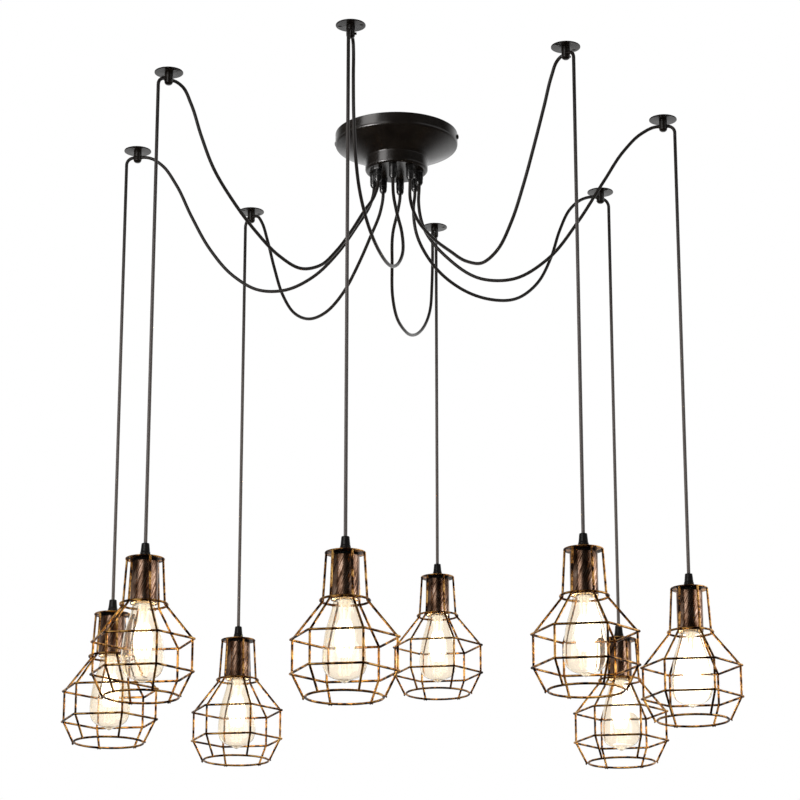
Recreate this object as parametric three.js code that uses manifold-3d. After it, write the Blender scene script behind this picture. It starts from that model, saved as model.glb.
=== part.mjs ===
// Cluster pendant light: one ceiling canopy, eight ceiling hooks, eight swagged cords and
// eight wire-cage pendants with clear tapered bulbs.
// Millimetres, +Z up. The ceiling is the plane z = 0 and the canopy's centre is the origin.

import * as THREE from 'three';
import { mergeVertices } from 'three/addons/utils/BufferGeometryUtils.js';
import Module from 'manifold-3d';

const wasm = await Module();
wasm.setup();

// Driving dimensions, shared
const seat_gap = 0.3;
const weld_depth = 0.5;
const cut_overrun = 3;
const full_turn = Math.PI * 2;
const quarter_turn = Math.PI / 2;

// Canopy: a spun pan with a deep cup, and a gland for each cord
const canopy_diameter = 204;
const canopy_height = 66;
const canopy_sheet = 1.5;
const rim_height = 20;
const rim_rounding = 4;
const cup_diameter = 104;
const cup_height = 23;
const cup_rounding = 3.5;
const cup_shoulder = 2;
const gland_ring_radius = 38;
const gland_length = 25;
const gland_flange_diameter = 15;
const gland_flange_height = 4;
const gland_body_diameter = 12.5;
const gland_nose_diameter = 9;
const gland_nose_length = 4;
const canopy_segments = 28;
const canopy_rounding_steps = 2;
const gland_sides = 6;

// Mounting strap inside the canopy, with its terminal block
const strap_width = 20;
const strap_thickness = 2;
const strap_tab_length = 15;
const strap_slot_length = 22;
const strap_slot_width = 5;
const strap_slot_distance = 45;
const terminal_length = 56;
const terminal_width = 18;
const terminal_height = 15;
const terminal_pole_count = 4;
const terminal_groove_width = 2;
const terminal_groove_depth = 5;

// Side screws that hold the canopy to the strap
const canopy_screw_diameter = 3.6;
const canopy_screw_length = 9;
const canopy_screw_head_diameter = 7.5;
const canopy_screw_head_height = 2.5;
const canopy_screw_drop = 9;
const screw_hole_clearance = 0.4;

// Ceiling hooks: a screwed disc with a boss that clamps the cord
const hook_count = 8;
const hook_ring_radius = 444;
const hook_disc_diameter = 45.5;
const hook_disc_thickness = 1.6;
const hook_boss_diameter = 13.5;
const hook_boss_height = 20;
const hook_boss_rounding = 3;
const hook_screw_spacing = 33;
const hook_screw_hole_diameter = 4.4;
const hook_cord_drop = 12.5;
const hook_segments = 12;
const hook_hole_sides = 6;

// Cords
const cord_diameter = 5.5;
const cord_hole_clearance = 0.4;
const cord_bend_radius = 12;
const cord_sides = 8;
const swag_lead = 4;
const swag_steps = 18;
const drop_bend_steps = 3;
const drop_straight_steps = 1;

// Cage: a hexagonal wire guard that widens below the lamp holder
const plate_diameter = 59;
const plate_thickness = 2;
const cage_wire_diameter = 3;
const cage_sides = 6;
const cage_corner_diameter = 160;
const cage_upper_ring_drop = 70;
const cage_upper_ring_diameter = 73;
const cage_shoulder_drop = 124;
const cage_waist_drop = 173;
const cage_base_drop = 208;
const cage_base_diameter = 118;
const wire_section_sides = 4;

// Strain relief and lamp holder, clamped through the plate's hole
const stem_diameter = 9.4;
const stem_clearance = 0.3;
const stem_length = 8;
const relief_height = 23;
const relief_base_diameter = 14;
const relief_waist_diameter = 16;
const relief_waist_height = 8;
const relief_top_diameter = 12;
const holder_diameter = 41;
const holder_length = 67;
const holder_sheet = 1.2;
const holder_band_diameter = 39;
const holder_band_height = 3.5;
const holder_lip = 5;
const socket_depth = 21;
const holder_segments = 12;

// Bulb: a tapered clear bulb on a screw cap
const bulb_diameter = 64;
const bulb_length = 145;
const bulb_cap_diameter = 26.4;
const bulb_cap_length = 26;
const bulb_cap_taper = 5;
const bulb_contact_diameter = 9;
const bulb_cap_clearance = 0.5;
const bulb_segments = 10;

// Glass outline from the cap to the tip: shares of the bulb's radius and of the glass length
const glass_outline_shares = [
  [0.53, 0.01],
  [0.67, 0.18],
  [0.87, 0.375],
  [0.96, 0.55],
  [1, 0.72],
  [0.9, 0.84],
  [0.5, 0.94],
];

// Pendants: usual depth of the plates below the ceiling, and each one's share of it round the ring
const pendant_drop = 800;
const plate_drop_shares = [0.9875, 1, 0.8125, 0.975, 1, 0.9875, 1.03125, 1];

// Swagged cord routes, each in the upright plane of its hook, from the gland to the hook: distance
// from the canopy's axis, distance to the side of that plane and depth below the ceiling
const swag_routes = [
  [[37, 0, 120], [46, 0, 168], [84, 0, 221], [140, 0, 261], [195, 0, 264], [250, 0, 233],
    [300, 0, 172], [345, 0, 102], [379, 0, 51], [408, 0, 23]],
  [[35, 0, 122], [42, 0, 168], [80, 0, 217], [135, 0, 244], [195, 0, 250], [250, 0, 238],
    [298, 0, 200], [330, 0, 145], [350, 0, 92], [374, 0, 48], [404, 0, 22]],
  [[41, 4, 118], [62, 16, 150], [92, 22, 194], [128, 27, 238], [172, 26, 264], [222, 18, 273],
    [280, 11, 259], [335, 3, 225], [380, -1, 178], [408, 0, 122], [417, 0, 68], [419, 0, 27],
    [421, 0, 19.5], [426, 0, 14.5]],
  [[45, 0, 120], [76, 0, 160], [110, 0, 198], [150, 0, 233], [200, 0, 255], [252, 0, 255],
    [300, 0, 232], [338, 0, 188], [366, 0, 130], [390, 0, 70], [409, 0, 31], [422, 0, 16.5]],
  [[43, 0, 118], [68, 0, 160], [100, 0, 205], [140, 0, 243], [185, 0, 263], [230, 0, 261],
    [275, 0, 233], [314, 0, 186], [348, 0, 124], [376, 0, 65], [402, 0, 28], [420, 0, 15.5]],
  [[45, 0, 118], [66, 0, 150], [91, 0, 190], [120, 0, 230], [152, 0, 262], [190, 0, 275],
    [232, 0, 262], [276, 0, 231], [320, 0, 189], [357, 0, 143], [382, 0, 92], [402, 0, 43],
    [418, 0, 18.5]],
  [[41, 1, 116], [58, 9, 156], [84, 22, 204], [118, 29, 250], [160, 27, 286], [212, 22, 305],
    [268, 14, 299], [322, 6, 274], [366, 1, 236], [398, 0, 188], [414, 0, 130], [418.5, 0, 74],
    [419, 0, 27], [421, 0, 19.5], [426, 0, 14.5]],
  [[38, 0, 122], [56, 0, 164], [98, 0, 210], [145, 0, 247], [190, 0, 278], [232, 0, 292],
    [270, 0, 281], [305, 0, 245], [335, 0, 195], [364, 0, 136], [390, 0, 79], [409, 0, 36],
    [422, 0, 17]],
];

// Places that follow from the sizes above
const canopy_radius = canopy_diameter / 2;
const cup_radius = cup_diameter / 2;
const cup_top = -(canopy_height - cup_height);
const canopy_inner_apothem = (canopy_radius - canopy_sheet) * Math.cos(Math.PI / canopy_segments);
const strap_reach = Math.sqrt(canopy_inner_apothem ** 2 - (strap_width / 2) ** 2) - seat_gap;
const wire_radius = cage_wire_diameter / 2;
const cord_radius = cord_diameter / 2;
const drop_axis_radius = hook_ring_radius + hook_boss_diameter / 2 + cord_bend_radius;

// Materials
function finish(color, roughness, metalness) {
  return new THREE.MeshStandardMaterial({ color, roughness, metalness });
}

const black_metal = finish(0x1c1a19, 0.42, 0.6);
const black_plastic = finish(0x101010, 0.5, 0);
const zinc_steel = finish(0xb4b6b8, 0.35, 0.9);
const antique_copper = finish(0x5a3620, 0.4, 0.85);
const cord_cover = finish(0x24211f, 0.7, 0);
const warm_glass = finish(0xfff0cf, 0.05, 0);

// Solids
function signedVolume(position, index) {
  const corners = [new THREE.Vector3(), new THREE.Vector3(), new THREE.Vector3()];
  let volume = 0;
  for (let i = 0; i < index.length; i += corners.length) {
    corners.forEach((corner, j) => corner.fromBufferAttribute(position, index[i + j]));
    volume += corners[0].dot(corners[1].cross(corners[2]));
  }
  return volume;
}

// Turns a closed geometry into a solid: merged corners, no empty faces, faces pointing out
function solidOf(geometry) {
  const bare = geometry.clone();
  bare.deleteAttribute('normal');
  bare.deleteAttribute('uv');
  const merged = mergeVertices(bare);
  const position = merged.getAttribute('position');
  const faces = [];
  const source = merged.getIndex().array;
  for (let i = 0; i < source.length; i += 3) {
    const [a, b, c] = source.slice(i, i + 3);
    if (a !== b && b !== c && c !== a) faces.push(a, b, c);
  }
  if (signedVolume(position, faces) < 0) faces.reverse();
  return new wasm.Manifold(new wasm.Mesh({
    numProp: 3,
    vertProperties: Float32Array.from(position.array),
    triVerts: Uint32Array.from(faces),
  }));
}

function geometryOf(solid) {
  const mesh = solid.getMesh();
  const geometry = new THREE.BufferGeometry();
  geometry.setAttribute('position', new THREE.BufferAttribute(mesh.vertProperties, 3));
  geometry.setIndex(new THREE.BufferAttribute(mesh.triVerts, 1));
  geometry.computeVertexNormals();
  return geometry;
}

function piece(name, solid, material) {
  const mesh = new THREE.Mesh(geometryOf(solid), material);
  mesh.name = name;
  return mesh;
}

// A profile of [radius, height] points turned about the upright axis, with a facet's corner on +X
function revolved(profile, segments) {
  const points = profile.map(([radius, height]) => new THREE.Vector2(radius, height));
  return solidOf(new THREE.LatheGeometry(points, segments).rotateX(quarter_turn).rotateZ(quarter_turn));
}

// A round bar along X, Y or Z through a centre
function bar(diameter, length, axis, centre, sides) {
  const geometry = new THREE.CylinderGeometry(diameter / 2, diameter / 2, length, sides);
  if (axis === 'x') geometry.rotateZ(quarter_turn);
  if (axis === 'z') geometry.rotateX(quarter_turn);
  return solidOf(geometry.translate(...centre));
}

function box(width, depth, height, centre) {
  return solidOf(new THREE.BoxGeometry(width, depth, height).translate(...centre));
}

// Points of a quarter or other arc of a profile, from one angle to another
function arcPoints(centre, radius, from, to, steps) {
  const points = [];
  for (let i = 0; i <= steps; i += 1) {
    const angle = from + (to - from) * (i / steps);
    points.push([centre[0] + radius * Math.cos(angle), centre[1] + radius * Math.sin(angle)]);
  }
  return points;
}

// A run through given points with one step to each point, for bent wire and straight cord
class BentRun extends THREE.Curve {
  constructor(points) {
    super();
    this.points = points;
  }

  getPointAt(share) {
    return this.points[Math.round(share * (this.points.length - 1))].clone();
  }

  getTangentAt(share) {
    const here = Math.round(share * (this.points.length - 1));
    const tangent = new THREE.Vector3();
    if (here > 0) tangent.add(this.points[here].clone().sub(this.points[here - 1]).normalize());
    if (here < this.points.length - 1) {
      tangent.add(this.points[here + 1].clone().sub(this.points[here]).normalize());
    }
    return tangent.normalize();
  }
}

function sectionShape(radius, sides) {
  const points = [];
  for (let i = 0; i < sides; i += 1) {
    const angle = (full_turn * i) / sides;
    points.push(new THREE.Vector2(radius * Math.cos(angle), radius * Math.sin(angle)));
  }
  return new THREE.Shape(points);
}

function tube(path, radius, sides, steps) {
  const options = { steps, extrudePath: path, bevelEnabled: false };
  return new THREE.ExtrudeGeometry(sectionShape(radius, sides), options);
}

// A tube in the XZ plane through [distance out, height] points
function bentTube(points, radius, sides) {
  const path = new BentRun(points.map(([out, height]) => new THREE.Vector3(out, 0, height)));
  return tube(path, radius, sides, points.length - 1);
}

// A wire ring, round or with as many corners as it has segments
function wireRing(radius, height, segments) {
  const section = arcPoints([radius, height], wire_radius, 0, full_turn, wire_section_sides);
  return revolved(section, segments);
}

// Canopy pan
function panProfile() {
  const rim_bottom = -rim_height;
  const cup_shoulder_radius = cup_radius + cup_shoulder;
  const inner_cup = cup_radius - canopy_sheet;
  const inner_rim = canopy_radius - canopy_sheet;
  return [
    [0, -canopy_height],
    ...arcPoints([cup_radius - cup_rounding, -canopy_height + cup_rounding], cup_rounding,
      -quarter_turn, 0, canopy_rounding_steps),
    [cup_radius, cup_top - cup_shoulder],
    [cup_shoulder_radius, cup_top],
    ...arcPoints([canopy_radius - rim_rounding, rim_bottom + rim_rounding], rim_rounding,
      -quarter_turn, 0, canopy_rounding_steps),
    [canopy_radius, 0],
    [inner_rim, 0],
    [inner_rim, rim_bottom + canopy_sheet],
    [inner_cup, cup_top + canopy_sheet],
    [inner_cup, -canopy_height + canopy_sheet],
    [0, -canopy_height + canopy_sheet],
  ];
}

function glandSolid(angle) {
  const top = -canopy_height + weld_depth;
  const bottom = -canopy_height - gland_length;
  const flange_radius = gland_flange_diameter / 2;
  const body_radius = gland_body_diameter / 2;
  const gland = revolved([
    [0, top],
    [flange_radius, top],
    [flange_radius, -canopy_height - gland_flange_height],
    [body_radius, -canopy_height - gland_flange_height],
    [body_radius, bottom + gland_nose_length],
    [gland_nose_diameter / 2, bottom],
    [0, bottom],
  ], gland_sides);
  const place = new THREE.Vector3(gland_ring_radius, 0, 0).applyAxisAngle(new THREE.Vector3(0, 0, 1), angle);
  return gland.translate(place.toArray());
}

function canopyPan() {
  let pan = revolved(panProfile(), canopy_segments);
  for (let i = 0; i < hook_count; i += 1) {
    pan = pan.add(glandSolid((full_turn * i) / hook_count));
  }
  const hole = canopy_screw_diameter + screw_hole_clearance * 2;
  const through = canopy_diameter + cut_overrun * 2;
  return pan.subtract(bar(hole, through, 'x', [0, 0, -canopy_screw_drop], gland_sides));
}

// Mounting strap: a bar with two tabs turned down and a terminal block under its middle
function strapSolid() {
  const outline = new THREE.Shape([
    new THREE.Vector2(-strap_reach, 0),
    new THREE.Vector2(strap_reach, 0),
    new THREE.Vector2(strap_reach, -strap_tab_length),
    new THREE.Vector2(strap_reach - strap_thickness, -strap_tab_length),
    new THREE.Vector2(strap_reach - strap_thickness, -strap_thickness),
    new THREE.Vector2(-strap_reach + strap_thickness, -strap_thickness),
    new THREE.Vector2(-strap_reach + strap_thickness, -strap_tab_length),
    new THREE.Vector2(-strap_reach, -strap_tab_length),
  ]);
  const extruded = new THREE.ExtrudeGeometry(outline, { depth: strap_width, bevelEnabled: false });
  extruded.rotateX(quarter_turn).translate(0, strap_width / 2, 0);
  let strap = solidOf(extruded);
  const block_top = -strap_thickness + weld_depth;
  strap = strap.add(box(terminal_length, terminal_width, terminal_height,
    [0, 0, block_top - terminal_height / 2]));
  const block_bottom = block_top - terminal_height;
  const pole_pitch = terminal_length / terminal_pole_count;
  for (let i = 1; i < terminal_pole_count; i += 1) {
    const x = (i - terminal_pole_count / 2) * pole_pitch;
    strap = strap.subtract(box(terminal_groove_width, terminal_width + cut_overrun,
      terminal_groove_depth * 2, [x, 0, block_bottom]));
  }
  const hole = canopy_screw_diameter + screw_hole_clearance * 2;
  for (const side of [-1, 1]) {
    strap = strap.subtract(box(strap_slot_length, strap_slot_width, strap_thickness + cut_overrun,
      [side * (strap_slot_distance + strap_slot_length / 2), 0, -strap_thickness / 2]));
    strap = strap.subtract(bar(hole, strap_thickness + cut_overrun, 'x',
      [side * (strap_reach - strap_thickness / 2), 0, -canopy_screw_drop], gland_sides));
  }
  return strap;
}

// Side screw: head outside the rim, shank through the rim into the strap's tab
function canopyScrewSolid(side) {
  const seat = canopy_radius + seat_gap;
  const head = bar(canopy_screw_head_diameter, canopy_screw_head_height, 'x',
    [side * (seat + canopy_screw_head_height / 2), 0, -canopy_screw_drop], holder_segments);
  const shank = bar(canopy_screw_diameter, canopy_screw_length + weld_depth, 'x',
    [side * (seat + (weld_depth - canopy_screw_length) / 2), 0, -canopy_screw_drop], gland_sides);
  return head.add(shank);
}

// Ceiling hook, with +X pointing away from the canopy
function hookSolid() {
  const boss_radius = hook_boss_diameter / 2;
  const boss_bottom = -hook_disc_thickness - hook_boss_height;
  const hook = revolved([
    [0, boss_bottom],
    [boss_radius - hook_boss_rounding, boss_bottom],
    [boss_radius, boss_bottom + hook_boss_rounding],
    [boss_radius, -hook_disc_thickness],
    [hook_disc_diameter / 2, -hook_disc_thickness],
    [hook_disc_diameter / 2, 0],
    [0, 0],
  ], hook_segments);
  const cord_hole = bar(cord_diameter + cord_hole_clearance * 2, hook_boss_diameter + cut_overrun * 2,
    'x', [0, 0, -hook_cord_drop], cord_sides);
  let bored = hook.subtract(cord_hole);
  for (const side of [-1, 1]) {
    bored = bored.subtract(bar(hook_screw_hole_diameter, hook_disc_thickness + cut_overrun * 2,
      'z', [0, side * hook_screw_spacing / 2, 0], hook_hole_sides));
  }
  return bored;
}

// Swagged cord: straight out of the gland, through its route's points and straight into the hook
function swagSolid(route) {
  const gland_mouth = canopy_height + gland_length + seat_gap;
  const hook_face = hook_ring_radius - hook_boss_diameter / 2 - seat_gap;
  const places = [
    [gland_ring_radius, 0, gland_mouth],
    [gland_ring_radius, 0, gland_mouth + swag_lead],
    ...route,
    [hook_face - swag_lead, 0, hook_cord_drop],
    [hook_face, 0, hook_cord_drop],
  ];
  const points = places.map(([out, side, down]) => new THREE.Vector3(out, side, -down));
  return solidOf(tube(new THREE.CatmullRomCurve3(points), cord_radius, cord_sides, swag_steps));
}

// Hanging cord: straight through the hook's boss, a bend, and straight down to the strain relief
function dropCordSolid(plate_drop) {
  const stub_start = hook_ring_radius - hook_boss_diameter / 2;
  const stub_end = hook_ring_radius + hook_boss_diameter / 2;
  const bend_bottom = -hook_cord_drop - cord_bend_radius;
  const bottom = -plate_drop + relief_height + seat_gap * 2;
  const points = [
    [stub_start, -hook_cord_drop],
    ...arcPoints([stub_end, bend_bottom], cord_bend_radius, quarter_turn, 0, drop_bend_steps),
  ];
  for (let i = 1; i <= drop_straight_steps; i += 1) {
    points.push([drop_axis_radius, bend_bottom + (bottom - bend_bottom) * (i / drop_straight_steps)]);
  }
  return solidOf(bentTube(points, cord_radius, cord_sides));
}

// Strain relief: a waisted grommet on the plate, with a stem down through it
function reliefSolid() {
  const stem_radius = stem_diameter / 2;
  const stem_bottom = -plate_thickness - stem_length + seat_gap;
  return revolved([
    [0, stem_bottom],
    [stem_radius, stem_bottom],
    [stem_radius, seat_gap],
    [relief_base_diameter / 2, seat_gap],
    [relief_waist_diameter / 2, relief_waist_height],
    [relief_top_diameter / 2, relief_height + seat_gap],
    [0, relief_height + seat_gap],
  ], gland_sides);
}

// Lamp holder: a sleeve with a top band, a bore for the stem and a socket for the bulb's cap
function holderSolid() {
  const top = -plate_thickness - seat_gap;
  const bottom = top - holder_length;
  const sleeve_radius = holder_diameter / 2;
  const stem_bore = stem_diameter / 2 + stem_clearance;
  const socket_radius = bulb_cap_diameter / 2 + bulb_cap_clearance;
  const socket_floor = bottom + holder_lip + socket_depth;
  return revolved([
    [0, top - stem_length - stem_clearance],
    [stem_bore, top - stem_length - stem_clearance],
    [stem_bore, top],
    [holder_band_diameter / 2, top],
    [holder_band_diameter / 2, top - holder_band_height],
    [sleeve_radius, top - holder_band_height],
    [sleeve_radius, bottom],
    [sleeve_radius - holder_sheet, bottom],
    [socket_radius, bottom + holder_lip],
    [socket_radius, socket_floor],
    [0, socket_floor],
  ], holder_segments);
}

// Bulb: screw cap in the socket and the tapered glass below it
function bulbSolid() {
  const holder_bottom = -plate_thickness - seat_gap - holder_length;
  const cap_top = holder_bottom + holder_lip + socket_depth - bulb_cap_clearance;
  const cap_bottom = cap_top - bulb_cap_length;
  const tip = cap_top - bulb_length;
  const glass_length = cap_bottom - tip;
  const cap_radius = bulb_cap_diameter / 2;
  const glass = glass_outline_shares.map(([radius_share, length_share]) => (
    [radius_share * (bulb_diameter / 2), cap_bottom - length_share * glass_length]));
  return revolved([
    [0, cap_top],
    [bulb_contact_diameter / 2, cap_top],
    [cap_radius, cap_top - bulb_cap_taper],
    [cap_radius, cap_bottom],
    ...glass,
    [0, tip],
  ], bulb_segments);
}

// Cage: plate, six bent uprights, a round upper ring, two hexagons and a round base ring
function cageSolid() {
  const corner_radius = cage_corner_diameter / 2 - wire_radius;
  const upright_inset = cage_wire_diameter - weld_depth;
  const upper_radius = cage_upper_ring_diameter / 2 - wire_radius;
  const base_radius = cage_base_diameter / 2 - upright_inset - wire_radius;
  const stem_hole = stem_diameter / 2 + stem_clearance;
  const round_segments = cage_sides * 2;
  let cage = revolved([
    [stem_hole, -plate_thickness],
    [plate_diameter / 2, -plate_thickness],
    [plate_diameter / 2, 0],
    [stem_hole, 0],
    [stem_hole, -plate_thickness],
  ], round_segments);
  cage = cage.add(wireRing(upper_radius, -cage_upper_ring_drop, round_segments));
  cage = cage.add(wireRing(corner_radius, -cage_shoulder_drop, cage_sides));
  cage = cage.add(wireRing(corner_radius, -cage_waist_drop, cage_sides));
  cage = cage.add(wireRing(base_radius, -cage_base_drop, round_segments));
  const upright_points = [
    [plate_diameter / 2 - wire_radius, -plate_thickness + weld_depth],
    [upper_radius - upright_inset, -cage_upper_ring_drop],
    [corner_radius - upright_inset, -cage_shoulder_drop],
    [corner_radius - upright_inset, -cage_waist_drop],
    [base_radius + upright_inset - weld_depth, -cage_base_drop - wire_radius],
  ];
  const upright = bentTube(upright_points, wire_radius, wire_section_sides);
  for (let i = 0; i < cage_sides; i += 1) {
    cage = cage.add(solidOf(upright.clone().rotateZ((full_turn * i) / cage_sides)));
  }
  return cage;
}

// Assembly
const light = new THREE.Group();
light.add(piece('canopy_pan', canopyPan(), black_metal));
light.add(piece('mounting_strap', strapSolid(), zinc_steel));
light.add(piece('canopy_screw_left', canopyScrewSolid(-1), black_metal));
light.add(piece('canopy_screw_right', canopyScrewSolid(1), black_metal));

for (let i = 0; i < hook_count; i += 1) {
  const number = i + 1;
  const angle = (full_turn * i) / hook_count;
  const plate_drop = pendant_drop * plate_drop_shares[i];

  // What lies along the arm, from the canopy out to the hook
  const arm = new THREE.Group();
  arm.rotation.z = angle;
  const hook = piece(`ceiling_hook_${number}`, hookSolid(), black_metal);
  hook.position.x = hook_ring_radius;
  arm.add(hook);
  arm.add(piece(`swag_cord_${number}`, swagSolid(swag_routes[i]), cord_cover));
  arm.add(piece(`drop_cord_${number}`, dropCordSolid(plate_drop), cord_cover));
  light.add(arm);

  // What hangs on the cord; every cage faces the same way
  const pendant = new THREE.Group();
  pendant.position.set(drop_axis_radius * Math.cos(angle), drop_axis_radius * Math.sin(angle), -plate_drop);
  pendant.add(piece(`strain_relief_${number}`, reliefSolid(), black_plastic));
  pendant.add(piece(`lamp_holder_${number}`, holderSolid(), antique_copper));
  pendant.add(piece(`cage_${number}`, cageSolid(), antique_copper));
  pendant.add(piece(`bulb_${number}`, bulbSolid(), warm_glass));
  light.add(pendant);
}

export default light;
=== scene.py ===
"""Looks of the cluster pendant light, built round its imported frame.

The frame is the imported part's: metres, +Z up, the ceiling at z = 0 and the canopy's centre at the
origin. Arm 1 points along +X and the others follow every 45 degrees. The sizes, profiles and routes
of the pieces are written in millimetres. A profile lists its corners, each as distance from the
axis, height and fillet radius.
"""

from __future__ import annotations

import logging
import math
from dataclasses import dataclass, field
from enum import Enum
from typing import Any, Iterable, Sequence

import bmesh
import bpy
from mathutils import Matrix, Vector

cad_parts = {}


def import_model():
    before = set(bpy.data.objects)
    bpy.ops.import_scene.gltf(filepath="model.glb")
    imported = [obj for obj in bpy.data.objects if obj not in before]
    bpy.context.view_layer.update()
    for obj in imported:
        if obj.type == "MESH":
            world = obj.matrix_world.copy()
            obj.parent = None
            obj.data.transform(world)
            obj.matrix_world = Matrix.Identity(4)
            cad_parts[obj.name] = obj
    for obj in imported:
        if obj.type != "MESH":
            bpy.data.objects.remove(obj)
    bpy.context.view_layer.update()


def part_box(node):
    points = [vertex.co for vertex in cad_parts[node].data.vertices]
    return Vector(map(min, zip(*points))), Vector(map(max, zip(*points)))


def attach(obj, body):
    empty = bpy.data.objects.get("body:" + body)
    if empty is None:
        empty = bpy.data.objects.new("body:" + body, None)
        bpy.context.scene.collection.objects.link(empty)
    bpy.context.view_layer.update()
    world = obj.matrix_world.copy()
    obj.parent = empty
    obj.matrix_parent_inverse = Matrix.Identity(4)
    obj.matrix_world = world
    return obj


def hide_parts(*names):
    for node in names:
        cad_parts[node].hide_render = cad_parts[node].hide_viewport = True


LOG = logging.getLogger("cluster_pendant_light")

MM = 0.001
FULL_TURN = math.tau
QUARTER_TURN = math.pi / 2
ARM_COUNT = 8
ROOT_BODY = "ceiling_fixture"

Span = tuple[float, float]
Colour = tuple[float, float, float]
Place = tuple[float, float, float]
Outline = list[tuple[float, float]]
Profile = Sequence[tuple[float, float, float]]
Socket = bpy.types.NodeSocket
Material = bpy.types.Material
Mesh = bpy.types.Mesh


class Slot(Enum):
    """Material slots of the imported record."""

    BLACK_METAL = "black_metal"
    BLACK_PLASTIC = "black_plastic"
    ZINC_STEEL = "zinc_steel"
    ANTIQUE_COPPER = "antique_copper"
    CORD_COVER = "cord_cover"
    WARM_GLASS = "warm_glass"


class Shading(Enum):
    """Angle in degrees above which an edge between two faces stays sharp."""

    CRISP = 28.0
    SOFT = 50.0


class Seen(Enum):
    """Which surfaces show a lamp's light."""

    DIFFUSE = "matt surfaces"
    GLOSS = "glossy surfaces"


# Node trees


class NodeGraph:
    """A node tree, with short calls to add to it."""

    def __init__(self, tree: bpy.types.NodeTree) -> None:
        """Empties the tree and keeps it."""
        self.tree = tree
        tree.nodes.clear()

    def add(self, kind: str, settings: dict[str, Any] | None = None, **inputs: Any) -> bpy.types.Node:
        """Adds a node.

        Args:
            kind: The node's type.
            settings: Properties of the node.
            **inputs: Values or sockets for its inputs, with spaces in their names as underscores.

        Returns:
            The new node.
        """
        node = self.tree.nodes.new(kind)
        for key, value in (settings or {}).items():
            setattr(node, key, value)
        for key, value in inputs.items():
            self.feed(node.inputs[key.replace("_", " ")], value)
        return node

    def feed(self, socket: Socket, value: Any) -> None:
        """Links a socket to the input, or sets its value.

        Args:
            socket: The input.
            value: A socket, a colour or another plain value.
        """
        if isinstance(value, Socket):
            self.tree.links.new(value, socket)
        elif isinstance(value, tuple) and socket.type == "RGBA":
            socket.default_value = (*value, 1.0)
        else:
            socket.default_value = value

    def join(self, kind: str, *values: Any, **settings: Any) -> Socket:
        """Adds a node whose inputs are fed in their order.

        Args:
            kind: The node's type.
            *values: Values or sockets for its first inputs.
            **settings: Properties of the node.

        Returns:
            Its first output.
        """
        node = self.add(kind, settings)
        for socket, value in zip(node.inputs, values):
            self.feed(socket, value)
        return node.outputs[0]

    def maths(self, operation: str, first: Any, second: Any) -> Socket:
        """Returns the result of a Math node's operation on two sockets or numbers."""
        return self.join("ShaderNodeMath", first, second, operation=operation)

    def spread(self, value: Socket, source: Span, target: Span, curve: str = "LINEAR") -> Socket:
        """Maps one range of numbers to another, clamped.

        Args:
            value: The number.
            source: The range it comes in.
            target: The range it goes out in.
            curve: How it goes from one end to the other.

        Returns:
            The mapped number.
        """
        node = self.add("ShaderNodeMapRange", {"interpolation_type": curve}, Value=value, From_Min=source[0],
                        From_Max=source[1], To_Min=target[0], To_Max=target[1])
        return node.outputs["Result"]


class MaterialGraph(NodeGraph):
    """The node tree of a new material."""

    def __init__(self, name: str) -> None:
        """Starts a material of that name."""
        self.material = bpy.data.materials.new(name)
        self.material.use_nodes = True
        super().__init__(self.material.node_tree)


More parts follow.
